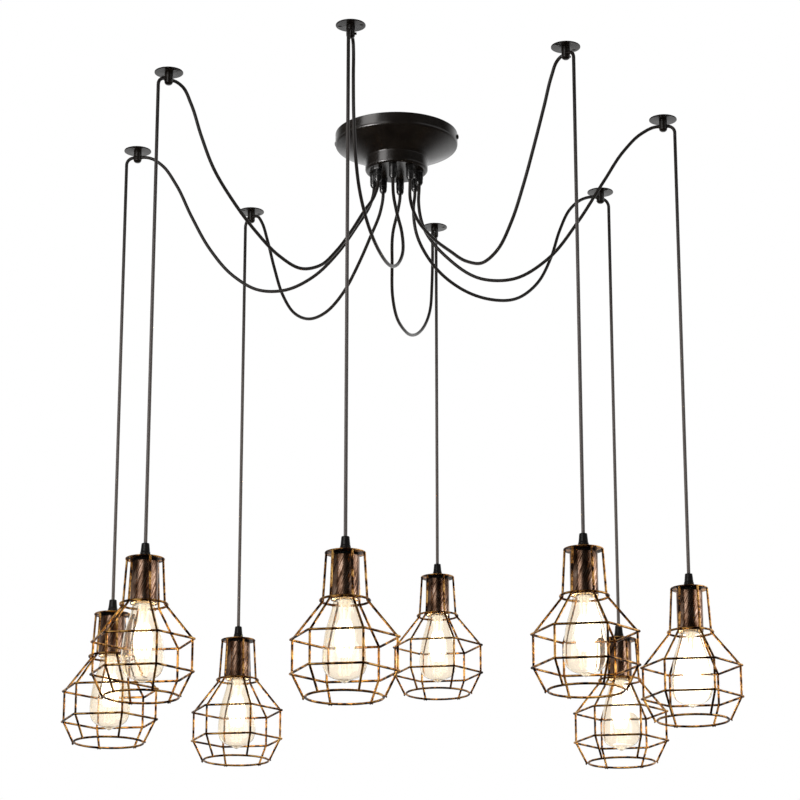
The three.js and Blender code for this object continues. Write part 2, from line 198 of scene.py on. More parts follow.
class ShaderGraph(MaterialGraph):
    """A material with one Principled shader."""

    def __init__(self, name: str) -> None:
        """Starts a material of that name, with its shader."""
        super().__init__(name)
        self.shader = self.add("ShaderNodeBsdfPrincipled")
        self.add("ShaderNodeOutputMaterial", Surface=self.shader.outputs["BSDF"])

    def dress(self, **inputs: Any) -> None:
        """Sets the shader's inputs to values or sockets, with spaces in their names as underscores."""
        for key, value in inputs.items():
            self.feed(self.shader.inputs[key.replace("_", " ")], value)

    def place(self) -> Socket:
        """Returns the Object coordinates, in metres."""
        return self.add("ShaderNodeTexCoord").outputs["Object"]

    def upward(self) -> Socket:
        """Returns how far the surface faces up, from -1 to 1."""
        normal = self.add("ShaderNodeTexCoord").outputs["Normal"]
        return self.add("ShaderNodeSeparateXYZ", Vector=normal).outputs["Z"]

    def attribute(self, name: str) -> Socket:
        """Returns a named vector of the piece's mesh."""
        return self.add("ShaderNodeAttribute", {"attribute_name": name}).outputs["Vector"]

    def stretched(self, vector: Socket, scale: Place, turn: Place = (0.0, 0.0, 0.0)) -> Socket:
        """Returns a vector turned by angles in radians and then scaled."""
        turned = self.add("ShaderNodeMapping", {"vector_type": "POINT"}, Vector=vector, Rotation=turn)
        scaled = self.add("ShaderNodeMapping", {"vector_type": "POINT"},
                          Vector=turned.outputs["Vector"], Scale=scale)
        return scaled.outputs["Vector"]

    def noise(self, vector: Socket, scale: float = 1.0, detail: float = 4.0,
              roughness: float = 0.55) -> Socket:
        """Returns fractal noise from 0 to 1, read at the vector."""
        return self.add("ShaderNodeTexNoise", Vector=vector, Scale=scale, Detail=detail,
                        Roughness=roughness).outputs["Fac"]

    def ramp(self, value: Socket, positions: Sequence[float], colours: Sequence[Colour]) -> Socket:
        """Maps a number to a colour.

        Args:
            value: The number.
            positions: Where on the ramp each colour lies.
            colours: The colours.

        Returns:
            The colour.
        """
        node = self.add("ShaderNodeValToRGB", Fac=value)
        elements = node.color_ramp.elements
        while len(elements) < len(positions):
            elements.new(1.0)
        for element, position, colour in zip(elements, positions, colours):
            element.position = position
            element.color = (*colour, 1.0)
        return node.outputs["Color"]

    def weighted(self, *terms: tuple[Socket, float]) -> Socket:
        """Adds numbers up.

        Args:
            *terms: Each number with its share.

        Returns:
            The sum.
        """
        total, *others = [self.maths("MULTIPLY", value, share) for value, share in terms]
        for product in others:
            total = self.maths("ADD", total, product)
        return total

    def blend(self, share: Socket, first: Socket, second: Colour) -> Socket:
        """Mixes two colours.

        Args:
            share: Share of the second colour.
            first: The first colour.
            second: The second colour.

        Returns:
            The mixed colour.
        """
        node = self.add("ShaderNodeMix", {"data_type": "RGBA"}, Factor=share)
        colours = [socket for socket in node.inputs if socket.type == "RGBA"]
        self.feed(colours[0], first)
        self.feed(colours[1], second)
        return next(socket for socket in node.outputs if socket.type == "RGBA")

    def bump(self, height: Socket, depth: float, strength: float) -> None:
        """Roughens the surface by a height from 0 to 1, where 1 is the depth in metres."""
        node = self.add("ShaderNodeBump", Strength=strength, Distance=depth, Height=height)
        self.feed(self.shader.inputs["Normal"], node.outputs["Normal"])


# Materials

# Where most values of fractal noise lie
NOISE_SPAN: Span = (0.3, 0.7)

# Attributes of the meshes: place about the pendant's own axis, and place on an unrolled wall
OWN_PLACE = "own_place"
UNROLLED = "unrolled"


@dataclass(frozen=True)
class SatinBlack:
    """Satin black stove enamel on the canopy, hooks and screws."""

    name: str = "satin_black_enamel"
    deep: Colour = (0.0056, 0.0043, 0.0034)
    worn: Colour = (0.0110, 0.0084, 0.0064)
    patch_scale: float = 38.0
    patch_span: Span = (0.35, 0.75)
    roughness: Span = (0.21, 0.27)
    grain_scale: float = 1500.0
    grain_depth: float = 0.04 * MM

    def make(self) -> Material:
        """Builds the material."""
        graph = ShaderGraph(self.name)
        place = graph.place()
        patches = graph.noise(place, self.patch_scale, detail=5.0)
        graph.dress(Base_Color=graph.ramp(patches, self.patch_span, (self.deep, self.worn)),
                    Roughness=graph.spread(patches, NOISE_SPAN, self.roughness))
        graph.bump(graph.noise(place, self.grain_scale, detail=2.0), self.grain_depth, strength=0.15)
        return graph.material


@dataclass(frozen=True)
class MouldedNylon:
    """Black nylon of the glands, strain reliefs and terminals."""

    name: str = "moulded_black_nylon"
    deep: Colour = (0.0052, 0.0050, 0.0050)
    sheen: Colour = (0.011, 0.0105, 0.010)
    flow_stretch: Place = (1.0, 1.0, 0.2)
    flow_scale: float = 260.0
    flow_span: Span = (0.35, 0.7)
    roughness: Span = (0.22, 0.34)
    grain_scale: float = 900.0
    grain_depth: float = 0.06 * MM

    def make(self) -> Material:
        """Builds the material."""
        graph = ShaderGraph(self.name)
        place = graph.place()
        grain = graph.noise(place, self.grain_scale, detail=3.0)
        flow = graph.noise(graph.stretched(place, self.flow_stretch), self.flow_scale, detail=3.0)
        graph.dress(Base_Color=graph.ramp(flow, self.flow_span, (self.deep, self.sheen)),
                    Roughness=graph.spread(grain, NOISE_SPAN, self.roughness))
        graph.bump(grain, self.grain_depth, strength=0.2)
        return graph.material


@dataclass(frozen=True)
class CordSheath:
    """Smooth dark sheath of the round cord, with painted light: lighter grey further down, where the hanging
    cord is lit.
    """

    name: str = "dark_cord_sheath"
    deep: Colour = (0.0135, 0.0110, 0.0098)
    scuffed: Colour = (0.018, 0.0150, 0.0132)
    painted_lit_grey_below: Colour = (0.082, 0.072, 0.068)
    painted_light_heights: Span = (-0.08, -0.36)
    scuff_scale: float = 90.0
    scuff_span: Span = (0.4, 0.72)
    gloss_span: Span = (0.35, 0.7)
    roughness: Span = (0.30, 0.36)
    specular: float = 0.6
    grain_scale: float = 900.0
    grain_depth: float = 0.02 * MM

    def make(self) -> Material:
        """Builds the material."""
        graph = ShaderGraph(self.name)
        place = graph.place()
        scuffs = graph.noise(place, self.scuff_scale, detail=5.0, roughness=0.6)
        height = graph.add("ShaderNodeSeparateXYZ", Vector=place).outputs["Z"]
        # Painted light: blends the sheath towards a lit grey below these heights
        fade = graph.spread(height, self.painted_light_heights, (0.0, 1.0))
        dark = graph.ramp(scuffs, self.scuff_span, (self.deep, self.scuffed))
        graph.dress(Base_Color=graph.blend(fade, dark, self.painted_lit_grey_below), Specular_IOR_Level=self.specular,
                    Roughness=graph.spread(scuffs, self.gloss_span, self.roughness))
        graph.bump(graph.noise(place, self.grain_scale, detail=2.0), self.grain_depth, strength=0.1)
        return graph.material


@dataclass(frozen=True)
class AntiqueCopper:
    """Dark antique copper plating, worn back to bright copper in random patches, with painted light: faces
    that point up are painted a little brighter.

    The pattern lies on the attribute that each pendant's mesh carries, so that it turns and
    stays with the pendant's own axis.
    """

    name: str = "antique_copper_wire"
    black: Colour = (0.015, 0.0062, 0.0032)
    brown: Colour = (0.135, 0.052, 0.015)
    copper: Colour = (0.60, 0.265, 0.066)
    gold: Colour = (0.97, 0.58, 0.18)
    tone_places: tuple[float, ...] = (0.43, 0.465, 0.51, 0.59)
    patch_scale: float = 62.0
    patch_share: float = 0.72
    fleck_scale: float = 430.0
    fleck_share: float = 0.28
    # Share of painted light from above, by how far the surface faces up
    painted_top_light_share: float = 0.06
    metal_span: Span = (0.41, 0.47)
    metallic: Span = (0.85, 1.0)
    gloss_span: Span = (0.41, 0.62)
    roughness: Span = (0.5, 0.34)
    specular: float = 0.3
    grain_depth: float = 0.12 * MM

    def make(self) -> Material:
        """Builds the material."""
        graph = ShaderGraph(self.name)
        place = graph.attribute(OWN_PLACE)
        patches = graph.noise(place, self.patch_scale, detail=5.0, roughness=0.62)
        flecks = graph.noise(place, self.fleck_scale, detail=3.0, roughness=0.7)
        # Worn plating from the two noises, plus painted light that brightens faces pointing up
        tone_mix = graph.weighted((patches, self.patch_share), (flecks, self.fleck_share),
                                (graph.upward(), self.painted_top_light_share))
        tones = (self.black, self.brown, self.copper, self.gold)
        graph.dress(Base_Color=graph.ramp(tone_mix, self.tone_places, tones),
                    Metallic=graph.spread(tone_mix, self.metal_span, self.metallic),
                    Specular_IOR_Level=self.specular,
                    Roughness=graph.spread(tone_mix, self.gloss_span, self.roughness))
        graph.bump(flecks, self.grain_depth, strength=0.4)
        return graph.material


@dataclass(frozen=True)
class BrushedCopperSleeve:
    """The same plating on a sleeve, brushed back in slanting strokes."""

    name: str = "antique_copper_sleeve"
    black: Colour = (0.013, 0.0065, 0.0042)
    brown: Colour = (0.090, 0.043, 0.024)
    copper: Colour = (0.40, 0.245, 0.165)
    gold: Colour = (0.84, 0.68, 0.58)
    tone_places: tuple[float, ...] = (0.40, 0.47, 0.55, 0.65)
    slant: Place = (0.0, 0.0, math.radians(24.0))
    stroke_scale: Place = (620.0, 26.0, 1.0)
    stroke_share: float = 0.46
    hair_scale: Place = (2100.0, 42.0, 1.0)
    hair_share: float = 0.26
    cloud_scale: float = 46.0
    cloud_share: float = 0.28
    gloss_span: Span = (0.38, 0.64)
    roughness: Span = (0.36, 0.20)
    hair_depth: float = 0.08 * MM

    def make(self) -> Material:
        """Builds the material."""
        graph = ShaderGraph(self.name)
        wall = graph.attribute(UNROLLED)
        strokes = graph.noise(graph.stretched(wall, self.stroke_scale, self.slant), roughness=0.6)
        hairs = graph.noise(graph.stretched(wall, self.hair_scale, self.slant), detail=3.0, roughness=0.6)
        clouds = graph.noise(graph.attribute(OWN_PLACE), self.cloud_scale, detail=3.0)
        tone_mix = graph.weighted((strokes, self.stroke_share), (hairs, self.hair_share),
                                (clouds, self.cloud_share))
        tones = (self.black, self.brown, self.copper, self.gold)
        graph.dress(Base_Color=graph.ramp(tone_mix, self.tone_places, tones), Metallic=1.0,
                    Roughness=graph.spread(tone_mix, self.gloss_span, self.roughness))
        graph.bump(hairs, self.hair_depth, strength=0.5)
        return graph.material


@dataclass(frozen=True)
class PlainMetal:
    """A plated or turned metal with fine scratches."""

    name: str
    light: Colour
    shade: Colour
    roughness: Span = (0.24, 0.38)
    scratch_scale: Place = (90.0, 900.0, 900.0)
    scratch_span: Span = (0.35, 0.65)
    scratch_depth: float = 0.05 * MM

    def make(self) -> Material:
        """Builds the material."""
        graph = ShaderGraph(self.name)
        scratches = graph.noise(graph.stretched(graph.place(), self.scratch_scale))
        graph.dress(Base_Color=graph.ramp(scratches, self.scratch_span, (self.shade, self.light)),
                    Metallic=1.0, Roughness=graph.spread(scratches, NOISE_SPAN, self.roughness))
        graph.bump(scratches, self.scratch_depth, strength=0.3)
        return graph.material


@dataclass(frozen=True)
class GlazedPorcelain:
    """White porcelain inside the lamp holder."""

    name: str = "glazed_porcelain"
    light: Colour = (0.74, 0.71, 0.65)
    shade: Colour = (0.58, 0.54, 0.48)
    cloud_scale: float = 120.0
    cloud_span: Span = (0.35, 0.65)
    roughness: Span = (0.14, 0.24)

    def make(self) -> Material:
        """Builds the material."""
        graph = ShaderGraph(self.name)
        clouds = graph.noise(graph.place(), self.cloud_scale)
        graph.dress(Base_Color=graph.ramp(clouds, self.cloud_span, (self.shade, self.light)),
                    Roughness=graph.spread(clouds, NOISE_SPAN, self.roughness))
        return graph.material


@dataclass(frozen=True)
class BulbGlass:
    """Thin warm-tinted bulb glass, deeper in colour towards its edges."""

    name: str = "warm_bulb_glass"
    clear: Colour = (0.975, 0.915, 0.82)
    shoulder: Colour = (0.93, 0.84, 0.69)
    edge: Colour = (0.70, 0.53, 0.33)
    tint_places: tuple[float, ...] = (0.0, 0.38, 0.68, 1.0)
    facing_blend: float = 0.45
    ior: float = 1.45

    def make(self) -> Material:
        """Builds the material."""
        graph = ShaderGraph(self.name)
        facing = graph.add("ShaderNodeLayerWeight", Blend=self.facing_blend).outputs["Facing"]
        tints = (self.clear, self.clear, self.shoulder, self.edge)
        graph.dress(Base_Color=graph.ramp(facing, self.tint_places, tints), Roughness=0.0, IOR=self.ior,
                    Transmission_Weight=1.0)
        return graph.material


@dataclass(frozen=True)
class BulbGlow:
    """The glow that a lit filament spreads inside its bulb, a volume that only gives light."""

    name: str
    colour: Colour
    strength: float

    def make(self) -> Material:
        """Builds the material."""
        graph = MaterialGraph(self.name)
        light = graph.add("ShaderNodeEmission", Color=self.colour, Strength=self.strength)
        graph.add("ShaderNodeOutputMaterial", Volume=light.outputs["Emission"])
        return graph.material


@dataclass(frozen=True)
class GlowingFilament:
    """Filament that glows warm white."""

    name: str = "glowing_filament"
    colour: Colour = (1.0, 0.80, 0.46)
    hottest: Colour = (1.0, 0.9, 0.66)
    heat_scale: float = 300.0
    strength: float = 7.0

    def make(self) -> Material:
        """Builds the material."""
        graph = ShaderGraph(self.name)
        heat = graph.noise(graph.place(), self.heat_scale, detail=2.0)
        graph.dress(Base_Color=self.colour, Roughness=0.5, Emission_Strength=self.strength,
                    Emission_Color=graph.ramp(heat, NOISE_SPAN, (self.colour, self.hottest)))
        return graph.material


class Finishes:
    """The finishes, each made once."""

    def __init__(self) -> None:
        """Makes every material."""
        self.enamel = SatinBlack().make()
        self.nylon = MouldedNylon().make()
        # Two copies of one sheath: the hanging one has painted light, lighter grey lower down; the swag one
        # fades only to its scuffed tone
        self.swag_cord = CordSheath(painted_lit_grey_below=CordSheath.scuffed).make()
        self.drop_cord = CordSheath("dark_cord_sheath_painted_lit_below").make()
        self.wire = AntiqueCopper().make()
        self.sleeve = BrushedCopperSleeve().make()
        self.zinc = PlainMetal("bright_zinc_steel", (0.62, 0.63, 0.64), (0.42, 0.43, 0.44)).make()
        self.brass = PlainMetal("turned_brass", (0.78, 0.58, 0.27), (0.55, 0.38, 0.16), (0.18, 0.32)).make()
        self.porcelain = GlazedPorcelain().make()
        self.glass = BulbGlass().make()
        self.filament = GlowingFilament().make()
        self.core_glow = BulbGlow("bright_filament_glow", (1.0, 0.93, 0.80), 34.0).make()
        self.soft_glow = BulbGlow("soft_filament_glow", (1.0, 0.86, 0.62), 1.6).make()


# Outlines and shells


def rounded(corners: Profile, steps: int) -> Outline:
    """Rounds a profile's corners.

    Args:
        corners: The profile, whose ends stay as they are.
        steps: Segments in each fillet.

    Returns:
        The outline's points.
    """
    outline: Outline = []
    for i, (out, height, fillet) in enumerate(corners):
        here = Vector((out, height))
        if fillet <= 0.0 or i in (0, len(corners) - 1):
            outline.append((out, height))
            continue
        back = (Vector(corners[i - 1][:2]) - here).normalized()
        ahead = (Vector(corners[i + 1][:2]) - here).normalized()
        half = back.angle(ahead) / 2.0
        centre = here + (back + ahead).normalized() * (fillet / math.sin(half))
        start = here + back * (fillet / math.tan(half)) - centre
        turn = start.angle_signed(here + ahead * (fillet / math.tan(half)) - centre)
        for step in range(steps + 1):
            angle = -turn * step / steps
            point = centre + Matrix.Rotation(angle, 2) @ start
            outline.append((point.x, point.y))
    return outline


def smooth_outline(points: Sequence[tuple[float, float]], steps: int = 5) -> Outline:
    """Runs a smooth curve through an outline's points.

    Args:
        points: Distance from the axis and height of each point.
        steps: Segments between two points.

    Returns:
        The curve's points.
    """
    places = [Vector(point) for point in points]
    tangents = even_tangents(places)
    outline: Outline = [points[0]]
    for i in range(len(places) - 1):
        span = (places[i + 1] - places[i]).length
        for step in range(1, steps + 1):
            t = step / steps
            low = 2 * t**3 - 3 * t**2 + 1
            point = (places[i] * low + places[i + 1] * (1 - low)
                     + tangents[i] * span * (t**3 - 2 * t**2 + t)
                     + tangents[i + 1] * span * (t**3 - t**2))
            outline.append((max(point.x, 0.0), point.y))
    return outline


def even_tangents(points: Sequence[Vector]) -> list[Vector]:
    """Direction of a smooth curve at each of its points, weighted to the nearer neighbour.

    Args:
        points: The points that the curve goes through.

    Returns:
        One direction for each point, of about unit length.
    """
    tangents = []
    for i, here in enumerate(points):
        before = points[i - 1] if i else None
        after = points[i + 1] if i < len(points) - 1 else None
        if before is None:
            tangents.append((after - here).normalized())
        elif after is None:
            tangents.append((here - before).normalized())
        else:
            back, ahead = here - before, after - here
            near, far = back.length, ahead.length
            tangents.append((back / near * far + ahead / far * near) / (near + far))
    return tangents


def ring_of(centre: Vector, across: Vector, along: Vector, radius: float, sides: int) -> list[Vector]:
    """Points of a circle.

    Args:
        centre: Its centre.
        across: Unit vector towards its first point.
        along: Unit vector a quarter turn on.
        radius: Its radius.
        sides: How many points it has.

    Returns:
        The points.
    """
    angles = [FULL_TURN * i / sides for i in range(sides)]
    return [centre + across * (radius * math.cos(a)) + along * (radius * math.sin(a)) for a in angles]


class Shells:
    """Gathers closed shells into one mesh, each with its own material.

    Its methods take millimetres. Their places are moves and turns in metres, as moved() gives.
    """

    def __init__(self) -> None:
        """Starts with nothing."""
        self.work = bmesh.new()
        self.unrolled = self.work.verts.layers.float_vector.new(UNROLLED)
        self.materials: list[Material] = []

    def slot_of(self, material: Material) -> int:
        """Returns the material's slot, a new one if need be."""
        if material not in self.materials:
            self.materials.append(material)
        return self.materials.index(material)

    def skin(self, rings: Sequence[Sequence[bmesh.types.BMVert]], material: Material,
             closed: bool = False) -> None:
        """Joins rings of points to a surface; a ring of one point is a pole.

        Args:
            rings: The rings in order.
            material: The surface's material.
            closed: Whether the last ring joins the first.
        """
        slot = self.slot_of(material)
        pairs = list(zip(rings, rings[1:])) + ([(rings[-1], rings[0])] if closed else [])
        faces = []
        for first, second in pairs:
            count = max(len(first), len(second))
            for i in range(count if count > 1 else 0):
                j = (i + 1) % count
                corners = [first[i % len(first)], first[j % len(first)],
                           second[j % len(second)], second[i % len(second)]]
                faces.append(self.work.faces.new(list(dict.fromkeys(corners))))
        for face in faces:
            face.material_index = slot
            face.smooth = True
        bmesh.ops.recalc_face_normals(self.work, faces=faces)

    def turned(self, profile: Profile, material: Material, segments: int, steps: int,
               place: Matrix | None = None, closed: bool = False) -> Shells:
        """Turns a profile about the upright axis, with its corners rounded.

        Args:
            profile: The profile; its ends lie on the axis, or it closes.
            material: The shell's material.
            segments: Facets round the axis.
            steps: Segments in each fillet.
            place: Where the shell goes.
            closed: Whether the profile closes on itself.

        Returns:
            This gathering.
        """
        return self.revolve(rounded(profile, steps), material, segments, place, closed)

    def revolve(self, outline: Outline, material: Material, segments: int,
                place: Matrix | None = None, closed: bool = False) -> Shells:
        """Turns an outline about the upright axis.

        Args:
            outline: Distances from the axis and heights; its ends lie on the axis, or it closes.
            material: The shell's material.
            segments: Facets round the axis.
            place: Where the shell goes.
            closed: Whether the outline closes on itself.

        Returns:
            This gathering.
        """
        spot = place or Matrix.Identity(4)
        points = [(out * MM, height * MM) for out, height in outline]
        rings, run = [], 0.0
        for (out, height), last in zip(points, [points[0], *points]):
            run += math.dist((out, height), last)
            turns = [0.0] if out < 1e-7 else [FULL_TURN * i / segments for i in range(segments)]
            ring = []
            for turn in turns:
                place = Vector((out * math.cos(turn), out * math.sin(turn), height))
                vert = self.work.verts.new(spot @ place)
                vert[self.unrolled] = Vector((min(turn, FULL_TURN - turn) * out, run, out))
                ring.append(vert)
            rings.append(ring)
        self.skin(rings, material, closed)
        return self

    def tube(self, path: Sequence[Vector], radius: float, material: Material, sides: int = 8,
             place: Matrix | None = None) -> Shells:
        """Sweeps a round section along a path, with closed ends.

        Args:
            path: The points that it follows.
            radius: Its radius.
            material: The shell's material.
            sides: Facets round the tube.
            place: Where the shell goes.

        Returns:
            This gathering.
        """
        spot = (place or Matrix.Identity(4)) @ Matrix.Scale(MM, 4)
        tangents = even_tangents(path)
        across = tangents[0].orthogonal().normalized()
        rings = [[self.work.verts.new(spot @ path[0])]]
        for point, tangent in zip(path, tangents):
            across = (across - tangent * (across.dot(tangent) / tangent.length_squared)).normalized()
            along = tangent.normalized().cross(across)
            circle = ring_of(point, across, along, radius, sides)
            rings.append([self.work.verts.new(spot @ place) for place in circle])
        rings.append([self.work.verts.new(spot @ path[-1])])
        self.skin(rings, material)
        return self

    def block(self, size: Sequence[float], centre: Sequence[float], bevel: float, material: Material,
              place: Matrix | None = None) -> Shells:
        """Adds a box with bevelled edges.

        Args:
            size: Its length along each axis.
            centre: Its centre.
            bevel: Width of the bevel.
            material: The shell's material.
            place: Where the shell goes.

        Returns:
            This gathering.
        """
        stretch = Matrix.Diagonal((*(length * MM for length in size), 1.0))
        matrix = (place or Matrix.Identity(4)) @ moved(*centre) @ stretch
        made = bmesh.ops.create_cube(self.work, size=1.0, matrix=matrix)
        edges = list(dict.fromkeys(edge for vert in made["verts"] for edge in vert.link_edges))
        bevelled = bmesh.ops.bevel(self.work, geom=edges, offset=bevel * MM, segments=2, affect="EDGES",
                                   profile=0.5)
        corners = set(bevelled["verts"]) | {v for v in made["verts"] if v.is_valid}
        slot = self.slot_of(material)
        for face in {face for vert in corners for face in vert.link_faces}:
            face.material_index = slot
        return self

    def mesh(self, name: str, shading: Shading = Shading.CRISP) -> Mesh:
        """Ends the gathering.

        Args:
            name: The mesh's name.
            shading: Which edges stay sharp.

        Returns:
            The mesh.
        """
        mesh = bpy.data.meshes.new(name)
        self.work.to_mesh(mesh)
        self.work.free()
        for material in self.materials:
            mesh.materials.append(material)
        return shaded(mesh, shading)


def shaded(mesh: Mesh, shading: Shading) -> Mesh:
    """Shades a mesh smooth between its sharp edges, and returns it."""
    mesh.shade_smooth()
    mesh.set_sharp_from_angle(angle=math.radians(shading.value))
    return mesh


def moved(out: float = 0.0, side: float = 0.0, up: float = 0.0) -> Matrix:
    """Returns a move along X, Y and Z, given in millimetres."""
    return Matrix.Translation((out * MM, side * MM, up * MM))


def about(axis: str, angle: float) -> Matrix:
    """Returns a turn about an axis, by an angle in radians."""
    return Matrix.Rotation(angle, 4, axis)


def arm_turn(number: int) -> Matrix:
    """Returns the turn from +X to an arm, whose numbers start at 1."""
    return about("Z", FULL_TURN * (number - 1) / ARM_COUNT)


def hand_over(mesh: Mesh, name: str, body: str = ROOT_BODY, node: str | None = None,
              place: Matrix | None = None) -> bpy.types.Object:
    """Args:
        mesh: The mesh to copy.
        name: The piece's name.
        body: The body that it rides on.
        node: The CAD node that it replaces, if any.
        place: Where the copy goes.

    Returns:
        The piece, at the origin.
    """
    copy = mesh.copy()
    copy.name = name
    copy.transform(place or Matrix.Identity(4))
    piece = bpy.data.objects.new(name, copy)
    bpy.context.scene.collection.objects.link(piece)
    if node:
        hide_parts(node)
    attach(piece, body)
    return piece


# Geometry node trees


class GeometryGraph(NodeGraph):
    """A geometry node tree with named inputs, run once on a mesh."""

    def __init__(self, name: str) -> None:
        """Starts a tree of that name."""
        super().__init__(bpy.data.node_groups.new(name, "GeometryNodeTree"))
        self.tree.interface.new_socket("Geometry", in_out="INPUT", socket_type="NodeSocketGeometry")
        self.tree.interface.new_socket("Geometry", in_out="OUTPUT", socket_type="NodeSocketGeometry")
        self.entry = self.tree.nodes.new("NodeGroupInput")
        self.exit = self.tree.nodes.new("NodeGroupOutput")

    def asks(self, kind: str, *names: str) -> None:
        """Adds named inputs of one socket type, which is given without the common start of such names."""
        for name in names:
            self.tree.interface.new_socket(name, in_out="INPUT", socket_type=f"NodeSocket{kind}")

    def given(self, name: str) -> Socket:
        """Returns the socket that carries a named input."""
        return self.entry.outputs[name]

    def upright(self, height: Any) -> Socket:
        """Returns a vector of that length along the upright axis."""
        return self.add("ShaderNodeCombineXYZ", Z=height).outputs["Vector"]

    def copied_round(self, geometry: Socket, count: Socket, start: Socket | None = None) -> Socket:
        """Copies geometry round the upright axis.

        Args:
            geometry: What is copied.
            count: How many copies there are.
            start: Turn of the first copy in radians, if it has one.

        Returns:
            The copies, as instances.
        """
        index = self.add("GeometryNodeInputIndex").outputs["Index"]
        angle = self.maths("MULTIPLY", index, self.maths("DIVIDE", FULL_TURN, count))
        if start is not None:
            angle = self.maths("ADD", angle, start)
        points = self.add("GeometryNodePoints", Count=count).outputs["Points"]
        return self.add("GeometryNodeInstanceOnPoints", Points=points, Instance=geometry,
                        Rotation=self.upright(angle)).outputs["Instances"]

    def ends_in(self, geometry: Socket, finish: Socket | None = None) -> None:
        """Realizes the instances, sets the material and ends the tree.

        Args:
            geometry: What the tree made.
            finish: The material input, or nothing to keep the mesh's own materials.
        """
        real = self.add("GeometryNodeRealizeInstances", Geometry=geometry).outputs["Geometry"]
        if finish is not None:
            real = self.add("GeometryNodeSetMaterial", Geometry=real, Material=finish).outputs["Geometry"]
        self.feed(self.exit.inputs["Geometry"], real)

    def run(self, mesh: Mesh, name: str, shading: Shading, **values: Any) -> Mesh:
        """Runs the tree on a mesh and keeps the result as a plain mesh.

        Args:
            mesh: What the tree starts from.
            name: The new mesh's name.
            shading: Which edges stay sharp.
            **values: The tree's inputs, with spaces in their names as underscores.

        Returns:
            The new mesh.
        """
        carrier = bpy.data.objects.new(f"{name}_carrier", mesh)
        bpy.context.scene.collection.objects.link(carrier)
        modifier = carrier.modifiers.new(self.tree.name, "NODES")
        modifier.node_group = self.tree
        sockets = {item.name: item.identifier for item in self.tree.interface.items_tree
                   if item.in_out == "INPUT"}
        for key, value in values.items():
            modifier[sockets[key.replace("_", " ")]] = value
        bpy.context.view_layer.update()
        evaluated = carrier.evaluated_get(bpy.context.evaluated_depsgraph_get())
        made = bpy.data.meshes.new_from_object(evaluated)
        made.name = name
        carrier.modifiers.remove(modifier)
        bpy.data.objects.remove(carrier)
        return shaded(made, shading)


class CopiesRound(GeometryGraph):
    """Copies a mesh round the upright axis."""

    def __init__(self) -> None:
        """Builds the tree with its inputs Count and Start Angle."""
        super().__init__("copies_round_the_axis")
        self.asks("Int", "Count")
        self.asks("Float", "Start Angle")
        copies = self.copied_round(self.given("Geometry"), self.given("Count"), self.given("Start Angle"))
        self.ends_in(copies)


class CopiesInRow(GeometryGraph):
    """Copies a mesh along X, evenly about the origin."""

    def __init__(self) -> None:
        """Builds the tree with its inputs Count and Pitch."""
        super().__init__("copies_in_a_row")
        self.asks("Int", "Count")
        self.asks("Float", "Pitch")
        index = self.add("GeometryNodeInputIndex").outputs["Index"]
        middle = self.maths("DIVIDE", self.maths("SUBTRACT", self.given("Count"), 1.0), 2.0)
        out = self.maths("MULTIPLY", self.maths("SUBTRACT", index, middle), self.given("Pitch"))
        spot = self.add("ShaderNodeCombineXYZ", X=out).outputs["Vector"]
        points = self.add("GeometryNodePoints", Count=self.given("Count"), Position=spot)
        copies = self.add("GeometryNodeInstanceOnPoints", Points=points.outputs["Points"],
                          Instance=self.given("Geometry"))
        self.ends_in(copies.outputs["Instances"])


class CageWires(GeometryGraph):
    """Sweeps a cage's wires: one bent upright copied round, round rings and hexagons."""

    SECTION_SIDES = 12
    ROUND_STEPS = 96
    BEND_STEPS = 5

    def __init__(self) -> None:
        """Builds the tree. The mesh it runs on is the upright's line."""
        super().__init__("cage_wires")
        rings = ("Upper", "Shoulder", "Waist", "Base")
        self.asks("Int", "Sides")
        self.asks("Float", "Wire Radius", "Bend Radius",
                  *(f"{ring} {size}" for ring in rings for size in ("Radius", "Height")))
        self.asks("Material", "Finish")
        sides = self.given("Sides")
        self.section = self.add("GeometryNodeCurvePrimitiveCircle", Resolution=self.SECTION_SIDES,
                                Radius=self.given("Wire Radius")).outputs["Curve"]
        line = self.add("GeometryNodeMeshToCurve", Mesh=self.given("Geometry")).outputs["Curve"]
        joined = self.add("GeometryNodeJoinGeometry")
        for part in (self.copied_round(self.swept(self.bent(line)), sides),
                     self.ring("Upper", self.ROUND_STEPS), self.ring("Base", self.ROUND_STEPS),
                     self.ring("Shoulder", sides, has_corners=True),
                     self.ring("Waist", sides, has_corners=True)):
            self.feed(joined.inputs["Geometry"], part)
        self.ends_in(joined.outputs["Geometry"], self.given("Finish"))

    def bent(self, curve: Socket) -> Socket:
        """Returns the curve with its corners bent to the bend radius."""
        return self.add("GeometryNodeFilletCurve", {"mode": "POLY"}, Curve=curve, Count=self.BEND_STEPS,
                        Radius=self.given("Bend Radius"), Limit_Radius=True).outputs["Curve"]

    def swept(self, curve: Socket) -> Socket:
        """Returns the wire along a curve."""
        return self.add("GeometryNodeCurveToMesh", Curve=curve, Profile_Curve=self.section,
                        Fill_Caps=True).outputs["Mesh"]

    def ring(self, name: str, resolution: Any, has_corners: bool = False) -> Socket:
        """Sweeps one ring of the cage.

        Args:
            name: Start of the names of its inputs.
            resolution: How many points its line has.
            has_corners: Whether its corners are bent round.

        Returns:
            The ring.
        """
        line = self.add("GeometryNodeCurvePrimitiveCircle", Resolution=resolution,
                        Radius=self.given(f"{name} Radius")).outputs["Curve"]
        wire = self.swept(self.bent(line) if has_corners else line)
        return self.add("GeometryNodeTransform", Geometry=wire,
                        Translation=self.upright(self.given(f"{name} Height"))).outputs["Geometry"]


@dataclass
class Trees:
    """The geometry node trees, each made once."""

    round: CopiesRound = field(default_factory=CopiesRound)
    row: CopiesInRow = field(default_factory=CopiesInRow)
    cage: CageWires = field(default_factory=CageWires)


# Studio


